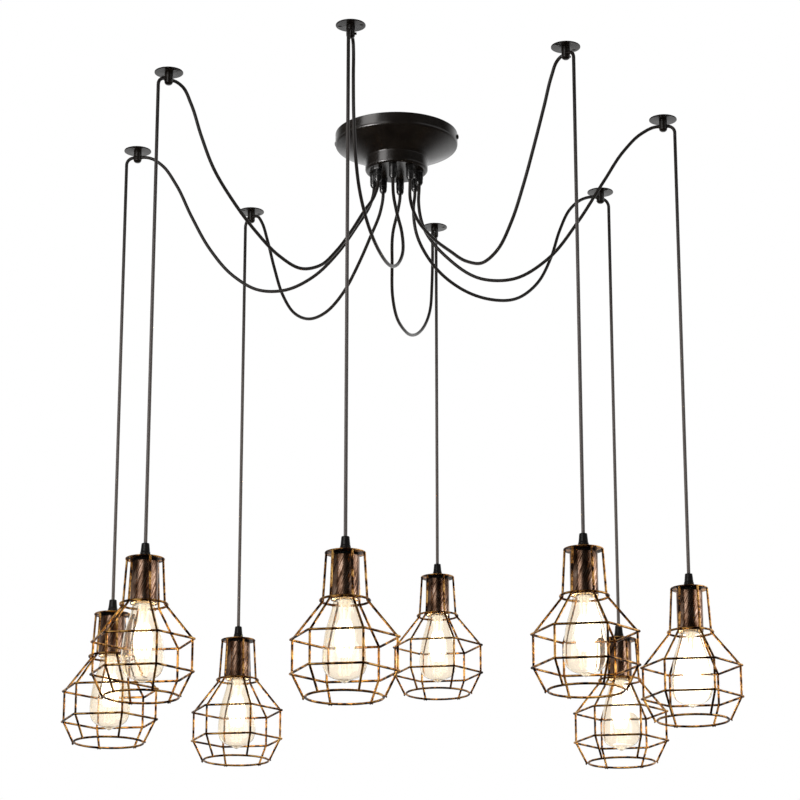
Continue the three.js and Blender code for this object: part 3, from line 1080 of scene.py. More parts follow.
@dataclass(frozen=True)
class SoftLamp:
    """A soft lamp that faces the object."""

    name: str
    place: Place
    size: Span
    power: float
    colour: Colour = (1.0, 0.98, 0.97)
    seen: Seen = Seen.GLOSS
    aim: Place = (0.0, 0.0, -0.5)

    def hang(self) -> bpy.types.Object:
        """Adds the lamp to the scene and returns it."""
        data = bpy.data.lights.new(self.name, "AREA")
        data.shape = "RECTANGLE"
        data.size, data.size_y = self.size
        data.energy = self.power
        data.color = self.colour
        lamp = bpy.data.objects.new(self.name, data)
        lamp.location = self.place
        lamp.rotation_euler = (Vector(self.aim) - Vector(self.place)).to_track_quat("-Z", "Y").to_euler()
        lamp.visible_camera = False
        lamp.visible_glossy = self.seen is Seen.GLOSS
        lamp.visible_diffuse = self.seen is Seen.DIFFUSE
        bpy.context.scene.collection.objects.link(lamp)
        return lamp

    def polish(self, pieces: Iterable[str]) -> None:
        """Adds the lamp so that only the named pieces reflect it."""
        lamp = self.hang()
        shown_in = bpy.data.collections.new(f"{self.name}_shown_in")
        for piece in pieces:
            shown_in.objects.link(bpy.data.objects[piece])
        lamp.light_linking.receiver_collection = shown_in


@dataclass(frozen=True)
class Fade:
    """A change of the studio's brightness along an axis, as gloss sees it."""

    axis: str
    span: Span
    levels: Span


@dataclass
class Studio:
    """Camera, lamps, world and floor, in metres."""

    camera_place: Place = (0.6577, -4.1482, -1.7240)
    camera_pitch: float = math.radians(16.73)
    camera_yaw: float = math.radians(-8.93)
    camera_reach: float = 100.0
    lens: float = 121.7
    sensor: float = 36.0
    floor_height: float = -2.4
    floor_size: float = 60.0
    floor_colour: Colour = (0.8, 0.8, 0.8)
    floor_glow: float = 0.35
    white: Colour = (1.0, 1.0, 1.0)
    sky_strength: float = 0.50
    front: Fade = Fade("Y", (0.38, 0.9), (0.02, 1.0))
    below: Fade = Fade("Z", (-0.88, -0.38), (0.04, 1.0))
    right: Fade = Fade("X", (0.58, 0.85), (0.0, 0.8))
    left: Fade = Fade("X", (-0.4, -0.75), (0.0, 0.5))
    band_top: Fade = Fade("Z", (0.31, 0.19), (0.0, 1.0))
    band_foot: Fade = Fade("Z", (-0.10, 0.13), (0.06, 1.0))
    lamps: tuple[SoftLamp, ...] = (
        SoftLamp("key_lamp", (-2.7, -2.2, -0.1), (2.2, 2.9), 96.0, seen=Seen.DIFFUSE),
        SoftLamp("fill_lamp", (3.3, -0.9, -0.5), (1.1, 1.3), 17.0, (1.0, 0.99, 0.98), Seen.DIFFUSE),
        SoftLamp("back_lamp", (0.8, 3.6, 0.6), (1.8, 1.8), 24.0, (1.0, 1.0, 1.0), Seen.DIFFUSE),
        SoftLamp("front_lamp", (-1.3, -3.1, -0.1), (1.7, 2.4), 20.0, (1.0, 0.99, 0.98)),
    )
    canopy_lamps: tuple[SoftLamp, ...] = (
        SoftLamp("canopy_wall_lamp", (-1.03, -1.15, 0.64), (0.8, 0.72), 8.4, aim=(0.0, 0.0, -0.05)),
        SoftLamp("canopy_edge_lamp", (-1.07, -1.11, -0.77), (0.55, 1.18), 42.0, aim=(0.0, 0.0, -0.05)),
    )
    pendant_lamp: SoftLamp = SoftLamp("pendant_gloss_lamp", (1.9, -0.1, -0.5), (1.8, 0.9), 10.0,
                                      aim=(0.0, 0.0, -0.85))

    def build(self) -> None:
        """Makes the world, the floor and the lamps that light every piece."""
        self.light_world()
        self.lay_floor()
        for lamp in self.lamps:
            lamp.hang()

    def place_camera(self) -> None:
        """Makes the camera at the photograph's viewing angle."""
        data = bpy.data.cameras.new("photo_camera")
        data.sensor_width = self.sensor
        data.lens = self.lens
        data.clip_end = self.camera_reach
        camera = bpy.data.objects.new("photo_camera", data)
        sin_yaw, cos_yaw = math.sin(self.camera_yaw), math.cos(self.camera_yaw)
        flat, rise = math.cos(self.camera_pitch), math.sin(self.camera_pitch)
        forward = Vector((sin_yaw * flat, cos_yaw * flat, rise))
        right = Vector((cos_yaw, -sin_yaw, 0.0))
        up = right.cross(forward)
        turn = Matrix((right, up, -forward)).transposed().to_4x4()
        camera.matrix_world = Matrix.Translation(self.camera_place) @ turn
        bpy.context.scene.collection.objects.link(camera)
        bpy.context.scene.camera = camera
        bpy.context.scene.view_settings.view_transform = "Standard"

    def light_world(self) -> None:
        """Lights the object evenly, and shows white where the background itself is seen.

        Gloss sees the same white, shaded towards the dark side of the studio, with a band of
        light at either side.
        """
        world = bpy.data.worlds.new("studio_world")
        bpy.context.scene.world = world
        world.use_nodes = True
        graph = NodeGraph(world.node_tree)
        path = graph.add("ShaderNodeLightPath").outputs
        direction = graph.add("ShaderNodeTexCoord").outputs["Generated"]
        axes = graph.add("ShaderNodeSeparateXYZ", Vector=direction).outputs
        fades = (self.front, self.below, self.right, self.left, self.band_top, self.band_foot)
        front, below, right, left, top, foot = (
            graph.spread(axes[fade.axis], fade.span, fade.levels, "SMOOTHSTEP") for fade in fades)
        band = graph.maths("MULTIPLY", top, foot)
        level = graph.maths("MULTIPLY", graph.maths("ADD", right, left), band)
        strength = graph.maths("MAXIMUM", graph.maths("MULTIPLY", front, below), level)
        sky, white, gloss = (graph.add("ShaderNodeBackground", Color=self.white, Strength=each)
                             for each in (self.sky_strength, 1.0, strength))
        seen = graph.maths("MAXIMUM", path["Is Camera Ray"], path["Is Transmission Ray"])
        lit = graph.join("ShaderNodeMixShader", path["Is Glossy Ray"], sky.outputs[0], gloss.outputs[0])
        shown = graph.join("ShaderNodeMixShader", seen, lit, white.outputs[0])
        graph.add("ShaderNodeOutputWorld", Surface=shown)

    def lay_floor(self) -> None:
        """Lays a pale floor, seen from above only, so that it hides nothing from below."""
        half = self.floor_size / 2.0
        mesh = bpy.data.meshes.new("studio_floor")
        corners = [(-half, -half), (half, -half), (half, half), (-half, half)]
        mesh.from_pydata([(x, y, self.floor_height) for x, y in corners], [], [(0, 1, 2, 3)])
        floor = bpy.data.objects.new("studio_floor", mesh)
        floor.visible_glossy = False
        bpy.context.scene.collection.objects.link(floor)
        graph = MaterialGraph("pale_floor")
        path = graph.add("ShaderNodeLightPath").outputs
        seen = graph.maths("MAXIMUM", path["Is Camera Ray"], path["Is Glossy Ray"])
        glow = graph.add("ShaderNodeEmission", Strength=graph.maths("MULTIPLY", seen, self.floor_glow))
        diffuse = graph.add("ShaderNodeBsdfDiffuse", Color=self.floor_colour)
        lit = graph.join("ShaderNodeAddShader", diffuse.outputs["BSDF"], glow.outputs["Emission"])
        underside = graph.add("ShaderNodeNewGeometry").outputs["Backfacing"]
        clear = graph.add("ShaderNodeBsdfTransparent").outputs["BSDF"]
        shown = graph.join("ShaderNodeMixShader", underside, lit, clear)
        graph.add("ShaderNodeOutputMaterial", Surface=shown)
        mesh.materials.append(graph.material)


# Cords


@dataclass
class Cords:
    """The eight cords, each a swag from gland to hook and a hanging stretch to its pendant.

    A route lists its points, each as distance out, distance to the side and depth.
    """

    swag_material: Material
    drop_material: Material
    diameter: float = 5.5
    gland_ring: float = 38.0
    gland_mouth: float = 91.3
    lead: float = 4.0
    hook_ring: float = 444.0
    boss_radius: float = 6.75
    hook_drop: float = 12.5
    seat_gap: float = 0.3
    bend_radius: float = 12.0
    bend_steps: int = 6
    hang_steps: int = 12
    steps_between_points: int = 8
    section_steps: int = 4
    routes: tuple[tuple[Place, ...], ...] = (
        ((37, 0, 120), (46, 0, 168), (84, 0, 221), (140, 0, 261), (195, 0, 264), (250, 0, 233),
         (300, 0, 172), (345, 0, 102), (379, 0, 51), (408, 0, 23)),
        ((35, 0, 122), (42, 0, 168), (80, 0, 217), (135, 0, 244), (195, 0, 250), (250, 0, 238),
         (298, 0, 200), (330, 0, 145), (350, 0, 92), (374, 0, 48), (404, 0, 22)),
        ((41, 4, 118), (62, 16, 150), (92, 22, 194), (128, 27, 238), (172, 26, 264), (222, 18, 273),
         (280, 11, 259), (335, 3, 225), (380, -1, 178), (408, 0, 122), (417, 0, 68), (419, 0, 27),
         (421, 0, 19.5), (426, 0, 14.5)),
        ((45, 0, 120), (76, 0, 160), (110, 0, 198), (150, 0, 233), (200, 0, 255), (252, 0, 255),
         (300, 0, 232), (338, 0, 188), (366, 0, 130), (390, 0, 70), (409, 0, 31), (422, 0, 16.5)),
        ((43, 0, 118), (68, 0, 160), (100, 0, 205), (140, 0, 243), (185, 0, 263), (230, 0, 261),
         (275, 0, 233), (314, 0, 186), (348, 0, 124), (376, 0, 65), (402, 0, 28), (420, 0, 15.5)),
        ((45, 0, 118), (66, 0, 150), (91, 0, 190), (120, 0, 230), (152, 0, 262), (190, 0, 275),
         (232, 0, 262), (276, 0, 231), (320, 0, 189), (357, 0, 143), (382, 0, 92), (402, 0, 43),
         (418, 0, 18.5)),
        ((41, 1, 116), (58, 9, 156), (84, 22, 204), (118, 29, 250), (160, 27, 286), (212, 22, 305),
         (268, 14, 299), (322, 6, 274), (366, 1, 236), (398, 0, 188), (414, 0, 130), (418.5, 0, 74),
         (419, 0, 27), (421, 0, 19.5), (426, 0, 14.5)),
        ((38, 0, 122), (56, 0, 164), (98, 0, 210), (145, 0, 247), (190, 0, 278), (232, 0, 292),
         (270, 0, 281), (305, 0, 245), (335, 0, 195), (364, 0, 136), (390, 0, 79), (409, 0, 36),
         (422, 0, 17)),
    )

    def build(self) -> None:
        """Makes every cord, hides the CAD cord that it replaces and hangs it on its body."""
        for number, route in enumerate(self.routes, 1):
            self.lay(f"swag_cord_run_{number}", f"swag_cord_{number}", ROOT_BODY,
                     self.swag_points(route, number), "hanging", self.swag_material)
            self.lay(f"drop_cord_run_{number}", f"drop_cord_{number}", f"pendant_{number}",
                     self.drop_points(number), "taut", self.drop_material)
            LOG.info("cord %d laid", number)

    def swag_points(self, route: Sequence[Place], number: int) -> list[Vector]:
        """Points of a swag: straight out of its gland, along its route and straight into its hook.

        Args:
            route: The arm's route.
            number: The arm's number.

        Returns:
            The points, in metres.
        """
        hook_face = self.hook_ring - self.boss_radius - self.seat_gap
        places = [(self.gland_ring, 0.0, self.gland_mouth),
                  (self.gland_ring, 0.0, self.gland_mouth + self.lead),
                  *route,
                  (hook_face - self.lead, 0.0, self.hook_drop),
                  (hook_face, 0.0, self.hook_drop)]
        return [arm_turn(number) @ (Vector((out, side, -down)) * MM) for out, side, down in places]

    def drop_points(self, number: int) -> list[Vector]:
        """Points of a hanging stretch: through the hook's boss, a bend, and straight down.

        Args:
            number: The arm's number.

        Returns:
            The points, in metres.
        """
        stub_end = self.hook_ring + self.boss_radius
        bend_bottom = -self.hook_drop - self.bend_radius
        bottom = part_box(f"drop_cord_{number}")[0].z / MM
        places = [(self.hook_ring - self.boss_radius, -self.hook_drop), (self.hook_ring, -self.hook_drop)]
        for step in range(self.bend_steps + 1):
            angle = QUARTER_TURN * (1 - step / self.bend_steps)
            places.append((stub_end + self.bend_radius * math.cos(angle),
                           bend_bottom + self.bend_radius * math.sin(angle)))
        for step in range(1, self.hang_steps + 1):
            share = (step / self.hang_steps) ** 2
            places.append((stub_end + self.bend_radius, bend_bottom + (bottom - bend_bottom) * share))
        return [arm_turn(number) @ (Vector((out, 0.0, height)) * MM) for out, height in places]

    def lay(self, name: str, node: str, body: str, points: Sequence[Vector], lay: str,
            material: Material) -> None:
        """Args:
            name: The piece's name.
            node: The CAD node that it replaces.
            body: The body that it rides on.
            points: Its route.
            lay: How it lies; not used.
            material: Its sheath.
        """
        curve = bpy.data.curves.new(name, "CURVE")
        curve.dimensions = "3D"
        curve.resolution_u = self.steps_between_points
        curve.bevel_depth = self.diameter * MM / 2
        curve.bevel_resolution = self.section_steps
        curve.use_fill_caps = True
        spline = curve.splines.new("BEZIER")
        spline.bezier_points.add(len(points) - 1)
        tangents = even_tangents(points)
        for i, (knot, point) in enumerate(zip(spline.bezier_points, points)):
            back = (point - points[i - 1]).length if i else 0.0
            ahead = (points[i + 1] - point).length if i < len(points) - 1 else 0.0
            knot.handle_left_type = knot.handle_right_type = "FREE"
            knot.co = point
            knot.handle_left = point - tangents[i] * back / 3
            knot.handle_right = point + tangents[i] * ahead / 3
        curve.materials.append(material)
        cord = bpy.data.objects.new(name, curve)
        bpy.context.scene.collection.objects.link(cord)
        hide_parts(node)
        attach(cord, body)

    @staticmethod
    def length_of(points: Sequence[Vector]) -> float:
        """Returns the length of a route, from point to point."""
        return sum((b - a).length for a, b in zip(points, points[1:]))


# Canopy


@dataclass
class Canopy:
    """The spun pan with its glands and side screws, and the strap and terminals inside."""

    finishes: Finishes
    trees: Trees
    radius: float = 102.0
    depth: float = 66.0
    sheet: float = 1.5
    edge_fillet: float = 0.35
    straight: float = 1.2
    rim_height: float = 20.0
    rim_rounding: float = 4.0
    rim_inset: float = 0.6
    cup_radius: float = 52.0
    cup_height: float = 24.0
    cup_flare: float = 2.4
    cup_rounding: float = 4.5
    gland_ring: float = 38.0
    flange: Profile = ((0.0, 0.3, 0.0), (7.5, 0.3, 0.4), (7.5, -4.0, 0.7), (0.0, -4.0, 0.0))
    gland_body: Profile = ((0.0, -3.5, 0.0), (5.7, -3.5, 0.2), (5.7, -15.4, 0.0), (6.25, -16.0, 0.4),
                           (6.25, -21.0, 0.8), (4.4, -25.0, 0.5), (2.85, -25.0, 0.3), (2.85, -22.0, 0.3),
                           (0.0, -22.0, 0.0))
    gland_nut: Profile = ((0.0, 5.4, 0.0), (6.6, 5.4, 0.4), (6.6, 1.6, 0.4), (0.0, 1.6, 0.0))
    gland_grub: Profile = ((0.0, 5.9, 0.0), (0.9, 5.9, 0.2), (1.25, 6.7, 0.25), (1.4, 4.4, 0.0),
                           (0.0, 4.4, 0.0))
    grub_height: float = -18.6
    rib_count: int = 12
    rib_size: Place = (1.5, 1.55, 12.0)
    rib_centre: Place = (5.8, 0.0, -10.0)
    rib_bevel: float = 0.45
    screw_drop: float = 9.0
    screw_head: Profile = ((0.0, 1.6, 0.0), (1.1, 2.0, 0.2), (1.5, 2.45, 0.2), (3.45, 1.8, 0.5),
                           (3.75, 0.0, 0.25), (0.0, 0.0, 0.0))
    screw_head_thickness: float = 2.5
    screw_shank: Profile = ((0.0, 0.2, 0.0), (1.8, 0.2, 0.0), (1.8, -8.2, 0.0), (1.1, -9.0, 0.0),
                            (0.0, -9.0, 0.0))
    knurl_count: int = 18
    knurl_size: Place = (0.5, 0.55, 1.5)
    knurl_centre: Place = (3.75, 0.0, 1.0)
    knurl_bevel: float = 0.15
    earth_place: Place = (-36.0, 0.0, -2.0)
    earth_washer: Profile = ((0.0, 1.0, 0.0), (5.2, 1.0, 0.3), (5.2, -0.2, 0.0), (0.0, -0.2, 0.0))
    earth_head: Profile = ((0.0, 2.6, 0.0), (0.9, 2.6, 0.0), (1.2, 3.4, 0.2), (3.2, 3.0, 0.5),
                           (3.4, 0.8, 0.2), (0.0, 0.8, 0.0))
    terminal_size: Place = (56.0, 18.0, 15.0)
    terminal_groove: Span = (2.0, 5.0)
    terminal_count: int = 4
    terminal_proud: float = 0.15
    terminal_overlap: float = 2.0
    terminal_bevels: Span = (0.4, 0.6)
    terminal_screw_out: float = 4.6
    terminal_screw: Profile = ((0.0, 0.6, 0.0), (0.5, 0.6, 0.0), (0.7, 1.3, 0.1), (2.3, 1.1, 0.3),
                               (2.4, -1.2, 0.0), (0.0, -1.2, 0.0))
    mouth_height: float = 9.0
    mouth: Profile = ((0.0, 0.3, 0.0), (1.8, 0.3, 0.1), (2.1, 0.9, 0.2), (2.8, 0.9, 0.3), (3.0, -0.4, 0.0),
                      (0.0, -0.4, 0.0))

    def build(self) -> None:
        """Makes every piece of the canopy."""
        self.pan()
        self.glands()
        self.side_screws()
        self.strap()
        LOG.info("canopy built")

    def pan(self) -> None:
        """Makes the spun pan, from its rim on the ceiling down to the cup's floor."""
        cup_top, flare, straight = self.cup_height - self.depth, self.cup_flare, self.straight
        cone_foot = Vector((self.cup_radius + flare * 1.8, cup_top))
        cone_head = Vector((self.radius - self.rim_inset, -self.rim_height))
        rim_top = self.rim_rounding - self.rim_height
        inner_cup, inner_rim = self.cup_radius - self.sheet, self.radius - self.sheet
        profile = [
            (0.0, -self.depth, 0.0),
            (self.cup_radius - self.cup_rounding - straight, -self.depth, 0.0),
            (self.cup_radius, -self.depth, self.cup_rounding),
            (self.cup_radius, -self.depth + self.cup_rounding + straight, 0.0),
            (self.cup_radius, cup_top - flare * 1.75 - straight, 0.0),
            (self.cup_radius, cup_top - flare * 1.2, flare),
            (*cone_foot, flare * 1.4),
            (*cone_foot.lerp(cone_head, 0.08), 0.0),
            (*cone_foot.lerp(cone_head, 0.92), 0.0),
            (*cone_head, self.rim_rounding),
            (self.radius, rim_top, self.rim_rounding * 1.5),
            (self.radius, rim_top + straight, 0.0),
            (self.radius, -straight, 0.0),
            (self.radius, 0.0, self.edge_fillet),
            (inner_rim, 0.0, self.edge_fillet),
            (inner_rim, self.sheet - self.rim_height, self.rim_rounding - self.sheet),
            (inner_cup, cup_top + self.sheet, flare),
            (inner_cup, self.sheet - self.depth, self.cup_rounding - self.sheet),
            (0.0, self.sheet - self.depth, 0.0),
        ]
        shell = Shells().turned(profile, self.finishes.enamel, 160, 8).mesh("canopy_shell", Shading.SOFT)
        hand_over(shell, "canopy_shell", node="canopy_pan")

    def gland_mesh(self) -> Mesh:
        """Makes one gland on arm 1: hexagonal flange, ribbed body with an open nose, grub screw and nut."""
        nylon = self.finishes.nylon
        spot = moved(self.gland_ring, up=-self.depth)
        shells = Shells().turned(self.flange, nylon, 6, 3, spot).turned(self.gland_body, nylon, 40, 4, spot)
        for i in range(self.rib_count):
            shells.block(self.rib_size, self.rib_centre, self.rib_bevel, nylon,
                         spot @ about("Z", FULL_TURN * i / self.rib_count))
        grub = spot @ moved(up=self.grub_height) @ about("Y", QUARTER_TURN)
        shells.turned(self.gland_grub, self.finishes.zinc, 16, 2, grub)
        return shells.turned(self.gland_nut, nylon, 6, 3, spot).mesh("cord_gland_single")

    def glands(self) -> None:
        """Copies the gland round the cup's floor."""
        ring = self.trees.round.run(self.gland_mesh(), "cord_glands", Shading.CRISP, Count=ARM_COUNT,
                                    Start_Angle=0.0)
        hand_over(ring, "cord_glands", node="canopy_pan")

    def side_screws(self) -> None:
        """Makes the two side screws, each a domed knurled head on its shank."""
        enamel = self.finishes.enamel
        for node, side in (("canopy_screw_left", -1.0), ("canopy_screw_right", 1.0)):
            low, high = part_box(node)
            seat = (high if side > 0 else low).x / MM - side * self.screw_head_thickness
            spot = moved(seat, up=-self.screw_drop) @ about("Y", side * QUARTER_TURN)
            shells = Shells().turned(self.screw_head, enamel, 36, 3, spot)
            shells.turned(self.screw_shank, self.finishes.zinc, 20, 2, spot)
            for i in range(self.knurl_count):
                shells.block(self.knurl_size, self.knurl_centre, self.knurl_bevel, enamel,
                             spot @ about("Z", FULL_TURN * i / self.knurl_count))
            hand_over(shells.mesh(f"{node}_piece"), f"{node}_piece", node=node)

    def strap(self) -> None:
        """Dresses the mounting strap, and adds its terminals and an earth screw with its washer."""
        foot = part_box("mounting_strap")[0].z / MM
        strap = bpy.data.objects["mounting_strap"]
        strap.data.materials.clear()
        strap.data.materials.append(self.finishes.zinc)
        self.terminal_block(foot)
        self.terminal_screws(foot)
        spot = moved(*self.earth_place) @ about("X", math.pi)
        earth = Shells().turned(self.earth_washer, self.finishes.brass, 32, 2, spot)
        earth.turned(self.earth_head, self.finishes.brass, 32, 3, spot)
        hand_over(earth.mesh("earth_screw"), "earth_screw")

    def terminal_block(self, foot: float) -> None:
        """Makes the moulded block of terminals, close round the strap's own solid.

        Args:
            foot: The height of its lower face.
        """
        length, width, height = self.terminal_size
        gap, depth = self.terminal_groove
        proud, nylon, last = self.terminal_proud, self.finishes.nylon, self.terminal_count - 1
        body_bevel, foot_bevel = self.terminal_bevels
        shells = Shells().block((length + 2 * proud, width + 2 * proud, height - depth + proud),
                                (0.0, 0.0, foot + (height + depth - proud) / 2), body_bevel, nylon)
        for i in range(self.terminal_count):
            start = length * i / self.terminal_count + (gap / 2 if i else 0.0) - length / 2 - proud
            end = length * (i + 1) / self.terminal_count - (gap / 2 if i < last else 0.0) - length / 2 + proud
            shells.block((end - start, width + 2 * proud, depth + self.terminal_overlap),
                         ((start + end) / 2, 0.0, foot + (depth + self.terminal_overlap) / 2 - proud),
                         foot_bevel, nylon)
        hand_over(shells.mesh("terminal_block"), "terminal_block")

    def terminal_screws(self, foot: float) -> None:
        """Makes the terminals' screws, two to each, and the collars where the wires go in.

        Args:
            foot: The height of the block's lower face.
        """
        shells = Shells()
        for side in (-1.0, 1.0):
            shells.turned(self.terminal_screw, self.finishes.brass, 20, 2,
                          moved(0.0, side * self.terminal_screw_out, foot) @ about("X", math.pi))
            shells.turned(self.mouth, self.finishes.nylon, 24, 3,
                          moved(0.0, side * self.terminal_size[1] / 2, foot + self.mouth_height)
                          @ about("X", -side * QUARTER_TURN))
        row = self.trees.row.run(shells.mesh("terminal_screw_pair"), "terminal_screws", Shading.CRISP,
                                 Count=self.terminal_count,
                                 Pitch=self.terminal_size[0] * MM / self.terminal_count)
        hand_over(row, "terminal_screws")


@dataclass
class CeilingHooks:
    """The eight ceiling hooks, with their fixing screws and grub screws."""

    finishes: Finishes
    trees: Trees
    ring: float = 444.0
    body: Profile = ((0.0, -21.6, 0.0), (6.75, -21.6, 5.0), (6.75, -1.8, 1.0), (21.55, -1.6, 0.5),
                     (22.75, -1.25, 0.3), (22.75, 0.0, 0.15), (0.0, 0.0, 0.0))
    cord_drop: float = 12.5
    cord_lip: Profile = ((2.7, 5.85, 0.0), (2.7, 7.1, 0.2), (3.7, 6.95, 0.3), (3.9, 5.85, 0.0))
    grub_drop: float = 14.7
    grub: Profile = ((0.0, 8.4, 0.0), (0.55, 8.4, 0.0), (0.75, 9.3, 0.1), (1.9, 9.1, 0.35), (2.0, 5.6, 0.0),
                     (0.0, 5.6, 0.0))
    screw_ring: float = 16.5
    screw_drop: float = 1.6
    screw: Profile = ((0.0, 0.75, 0.0), (1.7, 0.6, 0.3), (3.5, 0.25, 0.15), (3.7, -0.3, 0.1),
                      (1.7, -1.3, 0.0), (0.0, -1.3, 0.0))
    cross_drop: float = 2.22
    cross_turn: float = 0.4
    cross_bar: Place = (3.6, 0.7, 0.3)
    cross_bevel: float = 0.1

    def screw_mesh(self) -> Mesh:
        """Makes one countersunk screw head, out on the X axis."""
        spot = moved(self.screw_ring, up=-self.screw_drop) @ about("X", math.pi)
        return Shells().turned(self.screw, self.finishes.enamel, 32, 3, spot).mesh("hook_screw_single")

    def recess_shade_mesh(self) -> Mesh:
        """Makes painted shade for one screw's recess: a dark cross of two thin bars on its head, in place of
        the hollow.
        """
        shells = Shells()
        spot = moved(self.screw_ring, up=-self.cross_drop)
        for turn in (0.0, QUARTER_TURN):
            shells.block(self.cross_bar, (0.0, 0.0, 0.0), self.cross_bevel, self.finishes.nylon,
                         spot @ about("Z", turn + self.cross_turn))
        return shells.mesh("hook_screw_cross")

    def hook_mesh(self) -> Mesh:
        """Makes one hook about the upright axis: a thin disc and the boss that clamps the cord."""
        enamel = self.finishes.enamel
        shells = Shells().turned(self.body, enamel, 96, 6)
        shells.turned(self.grub, enamel, 24, 3, moved(up=-self.grub_drop) @ about("X", -QUARTER_TURN))
        for side in (-1.0, 1.0):
            shells.turned(self.cord_lip, enamel, 28, 3,
                          moved(up=-self.cord_drop) @ about("Y", side * QUARTER_TURN), closed=True)
        return shells.mesh("ceiling_hook_single", Shading.SOFT)

    def build(self) -> None:
        """Makes every hook with its two fixing screws and the painted shade of their recesses."""
        hook = self.hook_mesh()
        screws, recess_shades = (self.trees.round.run(mesh, name, Shading.CRISP, Count=2, Start_Angle=QUARTER_TURN)
                           for mesh, name in ((self.screw_mesh(), "hook_screw_pair"),
                                              (self.recess_shade_mesh(), "hook_recess_shade_pair")))
        for number in range(1, ARM_COUNT + 1):
            spot = arm_turn(number) @ moved(self.ring)
            hand_over(hook, f"ceiling_hook_piece_{number}", node=f"ceiling_hook_{number}",
                      place=spot)
            hand_over(screws, f"hook_screws_{number}", place=spot)
            hand_over(recess_shades, f"hook_screw_crosses_{number}", place=spot)
        LOG.info("hooks built")


# Pendants


@dataclass(frozen=True)
class Kind:
    """One kind of a pendant's pieces, with its mesh about the pendant's axis."""

    name: str
    node: str
    slot: Slot
    mesh: Mesh
    casts_shadow: bool = True


